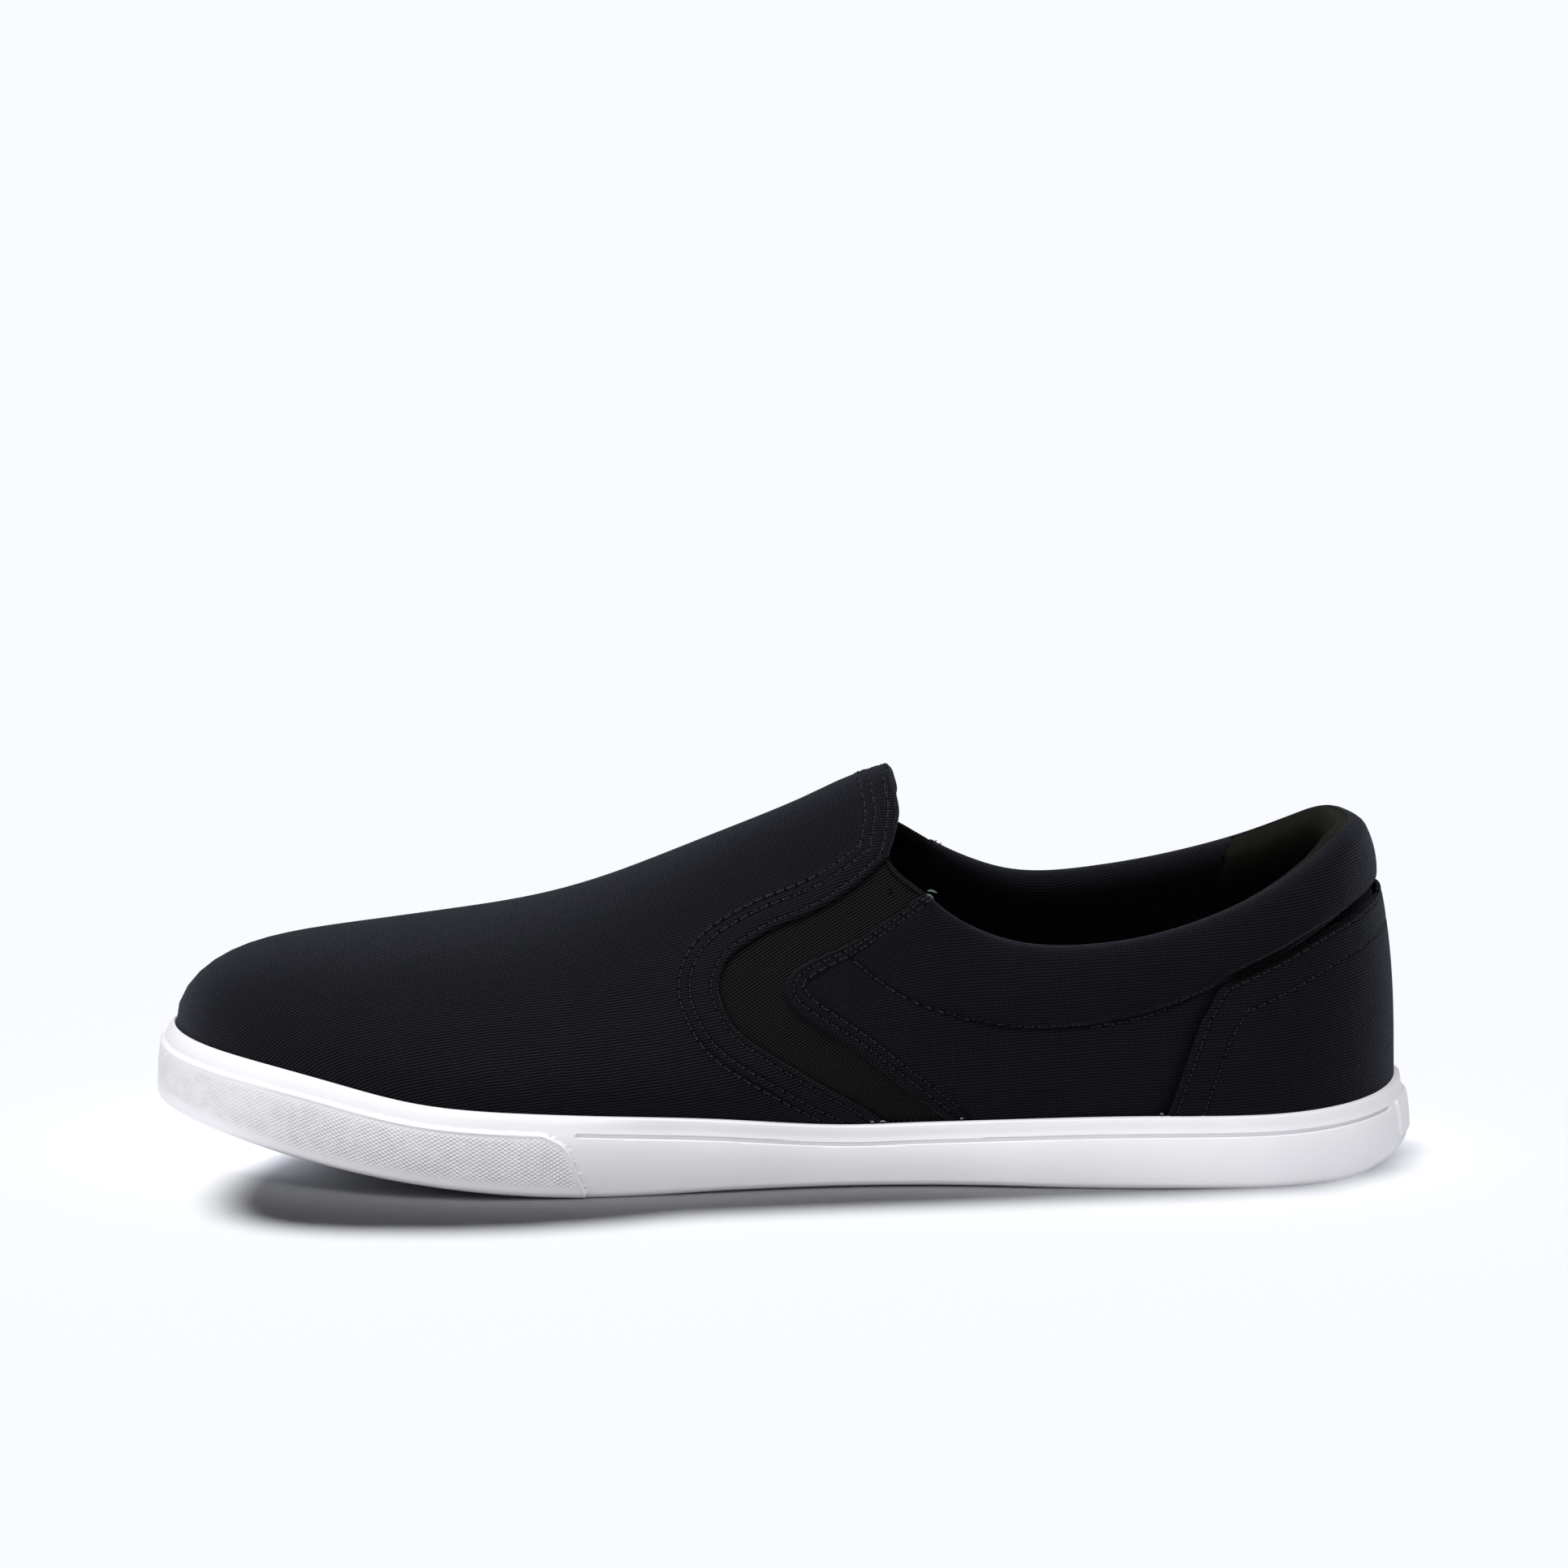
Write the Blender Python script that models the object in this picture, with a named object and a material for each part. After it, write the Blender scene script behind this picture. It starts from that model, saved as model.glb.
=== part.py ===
"""Slip-on canvas sneaker for a left foot: hollow upper, elastic gores, heel counter, insole and rubber cup sole.

Built in the last's own frame (x from the heel of the upper towards the toe, y towards the outer side, z up) and
then moved so that the box of the whole shoe is centred on the origin and stands on z = 0.
"""

import bmesh
import bpy
import numpy as np

# Named sizes, in metres
LENGTH = 0.2972
BALL_WIDTH = 0.107
INSTEP_HEIGHT = 0.0916
HEEL_HEIGHT = 0.084
CUP_WALL = 0.004
WALL = 0.0026
GAP = 0.0003
TOE_SPRING = 0.0112
SPRING_START = 0.64
ARCH = 0.0003
HEEL_BEVEL = 0.0042
BEVEL_END = 0.05
FLOOR_HEEL = 0.0095
FLOOR_TOE = 0.0068
LAST = LENGTH - 2 * CUP_WALL

# Plan of the foot line: station along the last, centre line and fullness as shares of the ball width
PLAN = [
    # station, centre, fullness
    (0.00, 0.018, 0.636),
    (0.05, 0.019, 0.588),
    (0.10, 0.021, 0.529),
    (0.15, 0.024, 0.461),
    (0.20, 0.027, 0.411),
    (0.30, 0.036, 0.337),
    (0.40, 0.042, 0.297),
    (0.50, 0.034, 0.325),
    (0.60, 0.012, 0.406),
    (0.70, -0.009, 0.492),
    (0.80, -0.034, 0.550),
    (0.90, -0.063, 0.561),
    (1.00, -0.093, 0.560),
]
# Side heights as shares of the instep height: where the upper leaves the sole, and the crown above that line
RISE = [
    # station, foot line, crown
    (0.00, 0.212, 1.56),
    (0.06, 0.190, 1.53),
    (0.15, 0.185, 1.47),
    (0.25, 0.181, 1.30),
    (0.35, 0.167, 1.035),
    (0.41, 0.160, 0.856),
    (0.435, 0.158, 0.829),
    (0.47, 0.161, 0.776),
    (0.55, 0.184, 0.643),
    (0.63, 0.202, 0.519),
    (0.71, 0.215, 0.432),
    (0.79, 0.230, 0.386),
    (0.86, 0.264, 0.346),
    (0.91, 0.285, 0.334),
    (0.96, 0.299, 0.340),
    (1.00, 0.316, 0.345),
]
# Shape of each section: roundness of the wall, roundness of the top, lean of the ridge to the inner side and
# belly of the outer and inner walls, the last three as shares of the ball width
SECTION = [
    # station, wall power, top power, ridge lean, outer belly, inner belly
    (0.00, 2.0, 2.0, 0.000, 0.004, 0.004),
    (0.20, 2.0, 2.0, 0.000, 0.012, 0.010),
    (0.40, 2.0, 2.0, 0.030, 0.012, 0.000),
    (0.55, 1.8, 2.0, 0.055, 0.018, 0.010),
    (0.70, 1.9, 2.1, 0.050, 0.020, 0.018),
    (0.85, 2.1, 2.3, 0.025, 0.016, 0.016),
    (1.00, 2.2, 2.4, 0.000, 0.010, 0.010),
]
# Back of the heel: height and how far it leans forward, as shares of the heel height
HEEL_BACK = [
    # height, lean
    (0.00, 0.000),
    (0.20, 0.0105),
    (0.40, 0.0155),
    (0.55, 0.0245),
    (0.70, 0.045),
    (0.80, 0.068),
    (0.90, 0.100),
    (1.00, 0.138),
]
# Top line: turn round the foot from heel to toe, station, and heights of the outer and inner side as shares of
# the instep height
TOP_LINE = [
    # turn, station, outer height, inner height
    (0.000, 0.000, 0.889, 0.889),
    (0.050, 0.0085, 0.880, 0.886),
    (0.100, 0.0245, 0.857, 0.873),
    (0.165, 0.0655, 0.799, 0.819),
    (0.220, 0.114, 0.734, 0.766),
    (0.270, 0.169, 0.672, 0.722),
    (0.330, 0.246, 0.622, 0.683),
    (0.380, 0.316, 0.627, 0.688),
    (0.420, 0.362, 0.684, 0.745),
    (0.450, 0.384, 0.738, 0.788),
    (0.500, 0.4005, 0.776, 0.822),
    (0.550, 0.4110, 0.812, 0.846),
    (0.600, 0.4105, 0.848, 0.870),
    (0.660, 0.4070, 0.890, 0.900),
    (0.780, 0.4050, 0.940, 0.945),
    (0.900, 0.4075, 0.982, 0.982),
    (1.000, 0.4115, 1.000, 1.000),
]
# Collar along the same turn: radius of the rolled edge, outward swell of the padding and depth of its band, metres
COLLAR = [
    # turn, radius, swell, band
    (0.00, 0.0045, 0.0014, 0.0162),
    (0.20, 0.0042, 0.0017, 0.0170),
    (0.30, 0.0039, 0.0017, 0.0190),
    (0.38, 0.0036, 0.0014, 0.0220),
    (0.42, 0.0024, 0.0005, 0.0240),
    (0.45, 0.0014, 0.0000, 0.0240),
    (0.60, 0.0013, 0.0000, 0.0240),
    (1.00, 0.0013, 0.0000, 0.0240),
]
# Elastic gore: its front edge and its rear edge as matched points, stations and shares of the instep height
GORE = [
    # front station, front height, rear station, rear height
    (0.4205, 0.794, 0.3915, 0.713),
    (0.4427, 0.742, 0.4119, 0.676),
    (0.4836, 0.671, 0.4471, 0.609),
    (0.5150, 0.628, 0.4725, 0.575),
    (0.5390, 0.584, 0.4890, 0.548),
    (0.5504, 0.537, 0.4965, 0.522),
    (0.5524, 0.506, 0.4989, 0.493),
    (0.5510, 0.470, 0.4975, 0.470),
    (0.5450, 0.432, 0.4911, 0.448),
    (0.5320, 0.388, 0.4729, 0.405),
    (0.5000, 0.320, 0.4431, 0.346),
    (0.4614, 0.247, 0.4153, 0.278),
    (0.4340, 0.196, 0.3910, 0.218),
    (0.4220, 0.170, 0.3745, 0.178),
]
GORE_TOP = 0.0004
GORE_LOW = 0.0011
GORE_BED = 0.0014
# Heel counter: its top edge by station, and its front edge by share of its own height
COUNTER_TOP = [
    # station, height as a share of the instep height
    (0.000, 0.698),
    (0.013, 0.688),
    (0.048, 0.650),
    (0.090, 0.592),
    (0.130, 0.538),
    (0.146, 0.515),
    (0.200, 0.470),
]
COUNTER_FRONT = [
    # share of height, station
    (0.00, 0.1895),
    (0.30, 0.1790),
    (0.60, 0.1680),
    (0.80, 0.1590),
    (0.92, 0.1500),
    (1.00, 0.1400),
]
COUNTER_THICK = 0.0008
# Wall of the sole, going down from the foot line: depth, then offset out from the foot line, in metres
CUP_SIDE = [
    # depth, offset
    (0.0003, 0.0009),
    (0.0012, 0.0017),
    (0.0025, 0.0023),
    (0.0050, 0.0031),
    (0.0085, 0.0037),
    (0.0110, 0.0039),
    (0.0300, 0.0040),
]
# Rim of the cup: drop of its inner edge, width of its flat and depths of the rings that round it
RIM_INNER = 0.0004
RIM_FLAT = 0.0006
RIM_STEPS = (0.0008, 0.0024, 0.0050)
# Rounded lower edge of the sole: height and setback of its two steps
EDGE_HIGH = 0.0013
EDGE_LOW = 0.0004
EDGE_SET = 0.0004
# Toe bumper: lap round the sole where it ends, by share of its height from its lower edge
BUMPER_END = [
    # share, turn
    (0.00, 0.6034),
    (0.35, 0.6080),
    (0.69, 0.6120),
    (0.88, 0.6178),
    (1.00, 0.6265),
]
BUMPER_DEPTH = 0.0040
BUMPER_RAISE = 0.0006
GROOVE_DEPTH = 0.0044
GROOVE_FRONT = 0.6087
GROOVE_WIDTH = 0.0010
GROOVE_CUT = 0.0007
GROOVE_REAR = 0.0730
PANEL_TURN = 0.060
PANEL_LOW = 0.0062
PANEL_HIGH = 0.0150
PANEL_RAISE = 0.0007
TREAD_FRONT = (0.57, 0.62, 0.67, 0.72, 0.77, 0.82, 0.87)
TREAD_REAR = (0.07, 0.12, 0.17, 0.22)
TREAD_WIDTH = 0.0026
TREAD_CUT = 0.0012
STATIONS = 76
# Materials: colour, roughness
LOOKS = {
    "canvas": ((0.0080, 0.0095, 0.0160), 0.90),
    "elastic": ((0.0100, 0.0095, 0.0085), 0.85),
    "board": ((0.0300, 0.0300, 0.0340), 0.90),
    "rubber": ((0.7400, 0.7300, 0.7100), 0.50),
}


def curve(rows, column, spread=None):
    """A smooth curve through one column of a table, straight beyond its ends."""
    xs = np.array([row[0] for row in rows], float)
    if spread:
        xs = spread(xs)
    ys = np.array([row[column] for row in rows], float)
    count = len(xs)
    step = np.diff(xs)
    matrix = np.eye(count)
    right = np.zeros(count)
    for i in range(1, count - 1):
        matrix[i, i - 1] = step[i - 1]
        matrix[i, i] = 2 * (step[i - 1] + step[i])
        matrix[i, i + 1] = step[i]
        right[i] = 6 * ((ys[i + 1] - ys[i]) / step[i] - (ys[i] - ys[i - 1]) / step[i - 1])
    bend = np.linalg.solve(matrix, right)

    def value(at):
        at = np.asarray(at, float)
        if spread:
            at = spread(at)
        at = np.clip(at, xs[0], xs[-1])
        k = np.clip(np.searchsorted(xs, at, side="right") - 1, 0, count - 2)
        h = step[k]
        a = (xs[k + 1] - at) / h
        b = (at - xs[k]) / h
        return (a * ys[k] + b * ys[k + 1]
                + ((a ** 3 - a) * bend[k] + (b ** 3 - b) * bend[k + 1]) * h ** 2 / 6)

    return value


def turn_of(station):
    return np.arccos(np.clip(1 - 2 * np.asarray(station, float), -1, 1)) / np.pi


def station_of(turn):
    return (1 - np.cos(np.pi * np.asarray(turn, float))) / 2


def smooth(edge0, edge1, value):
    t = np.clip((value - edge0) / (edge1 - edge0), 0, 1)
    return t * t * (3 - 2 * t)


plan_centre = curve(PLAN, 1, turn_of)
plan_full = curve(PLAN, 2, turn_of)
rise_foot = curve(RISE, 1, turn_of)
rise_crown = curve(RISE, 2, turn_of)
wall_power = curve(SECTION, 1)
top_power = curve(SECTION, 2)
ridge_lean = curve(SECTION, 3)
outer_belly = curve(SECTION, 4)
inner_belly = curve(SECTION, 5)
heel_lean = curve(HEEL_BACK, 1)
top_station = curve(TOP_LINE, 1)
roll_radius = curve(COLLAR, 1)
roll_swell = curve(COLLAR, 2)
roll_band = curve(COLLAR, 3)
counter_top = curve(COUNTER_TOP, 1)
counter_front = curve(COUNTER_FRONT, 1)
cup_side = curve(CUP_SIDE, 1)
bumper_end = curve(BUMPER_END, 1)


def lean_at(x, z):
    """How far the heel's back has moved forward at this height; it fades out towards the toe."""
    fade = np.clip(1 - np.asarray(x, float) / LAST, 0, 1) ** 4
    return heel_lean(np.asarray(z, float) / HEEL_HEIGHT) * HEEL_HEIGHT * fade


def foot_z(station):
    return rise_foot(station) * INSTEP_HEIGHT


def crown_squared(station):
    """Square of the crown's height above the foot line; below zero beyond the toe."""
    return (rise_crown(station) * INSTEP_HEIGHT) ** 2 * (1 - np.clip(station, 0, 1.2) ** 8)


def section(x, z, side):
    """Centre, squared half width and how far below the crown, for a point at x and z on one side."""
    station = (x - lean_at(x, z)) / LAST
    above = np.maximum(z - foot_z(station), 0)
    share = above ** 2 / np.maximum(crown_squared(station), 1e-10)
    under = 1 - share ** (wall_power(station) / 2)
    taper = np.maximum(under, 0) ** (1 / top_power(station))
    belly = np.where(side > 0, outer_belly(station), inner_belly(station))
    hump = above / 0.012 * np.exp(1 - above / 0.012)
    shelf = 4 * station * (1 - station)
    half = (plan_full(station) + belly * hump) * BALL_WIDTH * taper
    middle = (plan_centre(station) - ridge_lean(station) * np.minimum(np.sqrt(share), 1)) * BALL_WIDTH
    return middle, shelf * half ** 2, np.where(shelf > 0, under, np.minimum(under, shelf))


def outside(x, y, z):
    """Above zero outside the last's surface, below zero inside it."""
    middle, squared, _ = section(x, z, np.ones_like(x))
    side = np.where(y > middle, 1.0, -1.0)
    middle, squared, under = section(x, z, side)
    return (y - middle) ** 2 - np.maximum(squared, 0) + np.maximum(-under, 0)


def on_side(x, z, side):
    """The y of the surface at x and z, on the outer (1) or inner (-1) side."""
    middle, squared, _ = section(x, z, side)
    return middle + side * np.sqrt(np.maximum(squared, 0))


def foot_point(turn, side):
    """A point of the foot line."""
    station = station_of(turn)
    x = station * LAST
    z = foot_z(station)
    x = x + lean_at(x, z)
    return np.stack([x, on_side(x, z, side), z], -1)


def top_angles(side):
    column = 2 if side > 0 else 3
    rows = []
    for row in TOP_LINE:
        above = row[column] * INSTEP_HEIGHT - foot_z(row[1])
        share = np.clip(above / np.sqrt(crown_squared(row[1])), 0, 1)
        rows.append((row[0], np.arcsin(share ** (wall_power(row[1]) / 2))))
    rows[-1] = (rows[-1][0], np.pi / 2)
    return curve(rows, 1)


OUTER_ANGLE = top_angles(1)
INNER_ANGLE = top_angles(-1)


def top_point(turn, side):
    """A point of the top line."""
    station = top_station(turn)
    angle = np.where(side > 0, OUTER_ANGLE(turn), INNER_ANGLE(turn))
    share = np.sin(angle) ** (2 / wall_power(station))
    z = foot_z(station) + np.sqrt(crown_squared(station)) * share
    x = station * LAST
    x = x + lean_at(x, z)
    return np.stack([x, on_side(x, z, side), z], -1)


def ribs(count, samples):
    """Curves up the last's surface, all round the shoe: heel, outer side, toe, inner side.

    Each rib runs from the foot line to the top line. Points of the chord between them are pushed out to the
    surface.
    """
    half = count // 2
    turn = np.concatenate([np.arange(half + 1) / half, np.arange(half - 1, 0, -1) / half])
    side = np.where(np.arange(count) <= half, 1.0, -1.0)
    foot = foot_point(turn, side)
    top = top_point(turn, side)
    along = np.roll(foot, -1, 0) - np.roll(foot, 1, 0)
    normal = np.stack([along[:, 1], -along[:, 0], np.zeros(count)], -1)
    flip = np.sign(np.sum(normal * (foot - foot.mean(0)), -1))
    normal = normal * (flip / np.linalg.norm(normal, axis=-1))[:, None]
    t = np.linspace(0, 1, samples)[None, :, None]
    chord = foot[:, None] * (1 - t) + top[:, None] * t
    rise = (top - foot)[:, 2]
    inward = -np.sum((top - foot) * normal, -1)
    push = normal * rise[:, None] + np.array([0, 0, 1.0]) * inward[:, None]
    push = (push / np.linalg.norm(push, axis=-1)[:, None])[:, None]
    low = np.full(chord.shape[:2], -0.022)
    high = np.full(chord.shape[:2], 0.060)
    for _ in range(40):
        middle = (low + high) / 2
        at = chord + push * middle[..., None]
        out = outside(at[..., 0], at[..., 1], at[..., 2]) > 0
        high = np.where(out, middle, high)
        low = np.where(out, low, middle)
    grid = chord + push * ((low + high) / 2)[..., None]
    grid[:, 0] = foot
    grid[:, -1] = top
    return turn, side, grid


def grid_normals(grid):
    """Outward normals of a grid of ribs."""
    across = np.roll(grid, -1, 0) - np.roll(grid, 1, 0)
    up = np.gradient(grid, axis=1)
    normal = np.cross(across, up)
    normal /= np.linalg.norm(normal, axis=-1)[..., None]
    if np.sum(normal[:, 0, :2] * (grid[:, 0, :2] - grid[:, 0, :2].mean(0))) < 0:
        normal = -normal
    return normal


def finish(piece, look):
    """Give a piece its material and smooth shading with sharp edges kept."""
    material = bpy.data.materials.get(look)
    if material is None:
        material = bpy.data.materials.new(look)
        material.use_nodes = True
        shader = material.node_tree.nodes["Principled BSDF"]
        colour, rough = LOOKS[look]
        shader.inputs["Base Color"].default_value = (*colour, 1.0)
        shader.inputs["Roughness"].default_value = rough
        shader.inputs["Metallic"].default_value = 0.0
    piece.data.materials.clear()
    piece.data.materials.append(material)
    piece.data.shade_smooth()
    piece.data.set_sharp_from_angle(angle=np.radians(38))
    return piece


def make(name, points, faces):
    mesh = bpy.data.meshes.new(name)
    mesh.from_pydata([tuple(map(float, p)) for p in points], [], faces)
    piece = bpy.data.objects.new(name, mesh)
    bpy.context.collection.objects.link(piece)
    work = bmesh.new()
    work.from_mesh(mesh)
    bmesh.ops.recalc_face_normals(work, faces=work.faces)
    bmesh.ops.triangulate(work, faces=work.faces)
    work.to_mesh(mesh)
    work.free()
    return piece


def ring_faces(first, second, count):
    """Quads between two closed rings of vertices."""
    return [(first + i, first + (i + 1) % count, second + (i + 1) % count, second + i) for i in range(count)]


def build_upper():
    """One closed body: out and up the last, over the rolled edge, down the inside and across the bottom edge."""
    count = STATIONS
    turn, side, grid = ribs(count, 90)
    normal = grid_normals(grid)
    radius = roll_radius(turn)
    swell = roll_swell(turn)
    band = roll_band(turn)
    step = np.linalg.norm(np.diff(grid, axis=1), axis=-1)
    length = step.sum(1)
    below = np.concatenate([np.zeros((count, 1)), np.cumsum(step, 1)], 1)
    rings = []

    def row(distance, depth):
        """A ring at a distance below the top line, moved in along the normal."""
        ring = np.zeros((count, 3))
        for i in range(count):
            at = np.clip(length[i] - distance[i], 0, length[i])
            point = np.array([np.interp(at, below[i], grid[i, :, k]) for k in range(3)])
            way = np.array([np.interp(at, below[i], normal[i, :, k]) for k in range(3)])
            way /= np.linalg.norm(way)
            ring[i] = point - way * depth[i]
        return ring

    def puff(distance):
        share = distance / band
        padded = swell * np.sin(np.pi * np.clip(share, 0, 1)) ** 0.8
        return padded - 0.25 * swell * np.exp(-((share - 1.02) / 0.05) ** 2)

    def thick(distance):
        return WALL + (2 * radius - WALL) * (1 - smooth(radius, 1.4 * band, distance))

    foot = grid[:, 0]
    flat = normal[:, 0].copy()
    flat[:, 2] = 0
    flat /= np.linalg.norm(flat, axis=-1)[:, None]
    low = foot.copy()
    low[:, 2] = floor_z(station_of(turn)) + GAP
    rings.append(low)
    rings.append(foot)
    near = np.minimum(1.16 * band, length * 0.62)
    scale = near / 1.16
    for share in (0.90, 0.78, 0.66, 0.53, 0.40, 0.27, 0.13, 0.0):
        rings.append(row(near + (length - near) * share, np.zeros(count)))
    for share in (1.03, 0.90, 0.72, 0.52, 0.36):
        d = np.maximum(scale * share, radius * (1 + share * 0.3))
        rings.append(row(d, -puff(d)))
    for angle in (0, 30, 60, 90, 120, 150, 180):
        a = np.radians(angle)
        d = radius * (1 - np.sin(a))
        depth = radius * (1 - np.cos(a))
        rings.append(row(d, depth - puff(radius) * np.cos(a / 2) ** 2))
    for share in (0.45, 0.80, 1.15):
        d = np.maximum(scale * share, radius * (1 + share * 0.3))
        rings.append(row(d, thick(d)))
    for share in (0.1, 0.34, 0.58, 0.80):
        d = near + (length - near) * share
        rings.append(row(d, thick(d)))
    rings.append(foot - flat * WALL)
    rings.append(low - flat * WALL)
    faces = []
    for k in range(len(rings)):
        faces += ring_faces(k * count, ((k + 1) % len(rings)) * count, count)
    return make("upper", np.concatenate(rings), faces)


def floor_z(station):
    """Top of the cup's floor."""
    flat = FLOOR_HEEL + (FLOOR_TOE - FLOOR_HEEL) * smooth(0.25, 0.65, station)
    return flat + bottom_z(station)


def bottom_z(station):
    """Underside of the sole: flat at heel and ball, lifted a little at the waist and springing up at the toe."""
    spring = TOE_SPRING * np.clip((station - SPRING_START) / (1 - SPRING_START), 0, 2) ** 1.7
    arch = ARCH * smooth(0.24, 0.34, station) * (1 - smooth(0.54, 0.62, station))
    return spring + arch


def under_z(station):
    """The underside again, with the bevel at the back of the heel."""
    return bottom_z(station) + HEEL_BEVEL * np.clip(1 - station / BEVEL_END, 0, 1) ** 1.5


def lap_turn(lap):
    """Turn and side of a lap: 0 at the heel, 1 at the toe by the outer side, and 2 back at the heel."""
    lap = np.asarray(lap, float)
    turn = np.where(lap > 1, 2 - lap, np.abs(lap))
    side = np.where((lap > 1) | (lap < 0), -1.0, 1.0)
    return turn, side


def lap_point(lap, z, offset):
    """A point of the sole's wall: this far out from the foot line, at this height."""
    turn, side = lap_turn(lap)
    foot = foot_point(turn, side)
    before = foot_point(*lap_turn(np.asarray(lap) - 0.004))
    after = foot_point(*lap_turn(np.asarray(lap) + 0.004))
    run = after - before
    out = np.stack([run[..., 1], -run[..., 0]], -1)
    out = -out / np.linalg.norm(out, axis=-1)[..., None]
    point = foot.copy()
    point[..., :2] += out * np.asarray(offset)[..., None]
    point[..., 2] = z
    return point


def cap_faces(ring, first, count, columns):
    """Faces of a floor that closes a ring: heel, rows across, toe."""
    half = count // 2
    rows = []
    for k in range(1, half):
        inner = [first + (k - 1) * columns + j for j in range(columns)]
        rows.append([ring + k] + inner + [ring + count - k])
    faces = []
    for j in range(columns + 1):
        faces.append((ring, rows[0][j], rows[0][j + 1]))
        faces.append((ring + half, rows[-1][j], rows[-1][j + 1]))
    for a, b in zip(rows[:-1], rows[1:]):
        for j in range(columns + 1):
            faces.append((a[j], a[j + 1], b[j + 1], b[j]))
    return faces


def cap_points(ring, columns, height):
    """Points inside a ring for cap_faces, on a height given by station."""
    count = len(ring)
    half = count // 2
    points = []
    for k in range(1, half):
        outer = ring[k]
        inner = ring[count - k]
        for j in range(columns):
            share = (j + 1) / (columns + 1)
            point = outer * (1 - share) + inner * share
            point[2] = height(np.clip(point[0] / LAST, 0, 1), share)
            points.append(point)
    return np.array(points)


def closed_stack(name, rings, height_first, height_last, columns=3):
    """A body of rings, its first and last closed by floors."""
    count = len(rings[0])
    points = list(rings)
    faces = []
    for k in range(len(rings) - 1):
        faces += ring_faces(k * count, (k + 1) * count, count)
    total = len(rings) * count
    first = cap_points(rings[0], columns, height_first)
    last = cap_points(rings[-1], columns, height_last)
    faces += cap_faces(0, total, count, columns)
    faces += cap_faces((len(rings) - 1) * count, total + len(first), count, columns)
    return make(name, np.concatenate(points + [first, last]), faces)


def cut(target, tool, operation):
    """Join a tool to the target, or take it away."""
    step = target.modifiers.new(operation.lower(), "BOOLEAN")
    step.object = tool
    step.operation = operation
    step.solver = "EXACT"
    bpy.context.view_layer.update()
    result = bpy.data.meshes.new_from_object(target.evaluated_get(bpy.context.evaluated_depsgraph_get()))
    target.modifiers.clear()
    target.data = result
    bpy.data.objects.remove(tool)


def wall_band(name, laps, levels):
    """A closed strip along the sole's wall.

    Each level is a lap, a height and an offset for every column, and the levels go round the strip's section.
    """
    rings = [lap_point(lap, z, offset) for lap, z, offset in levels]
    columns = len(laps)
    size = len(rings)
    points = np.concatenate(rings)
    faces = []
    for k in range(size):
        other = (k + 1) % size
        for i in range(columns - 1):
            faces.append((k * columns + i, k * columns + i + 1, other * columns + i + 1, other * columns + i))
    faces.append(tuple(k * columns for k in range(size)))
    faces.append(tuple(k * columns + columns - 1 for k in range(size)))
    return make(name, points, faces)


def cup_offset(depth):
    return cup_side(depth)


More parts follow.
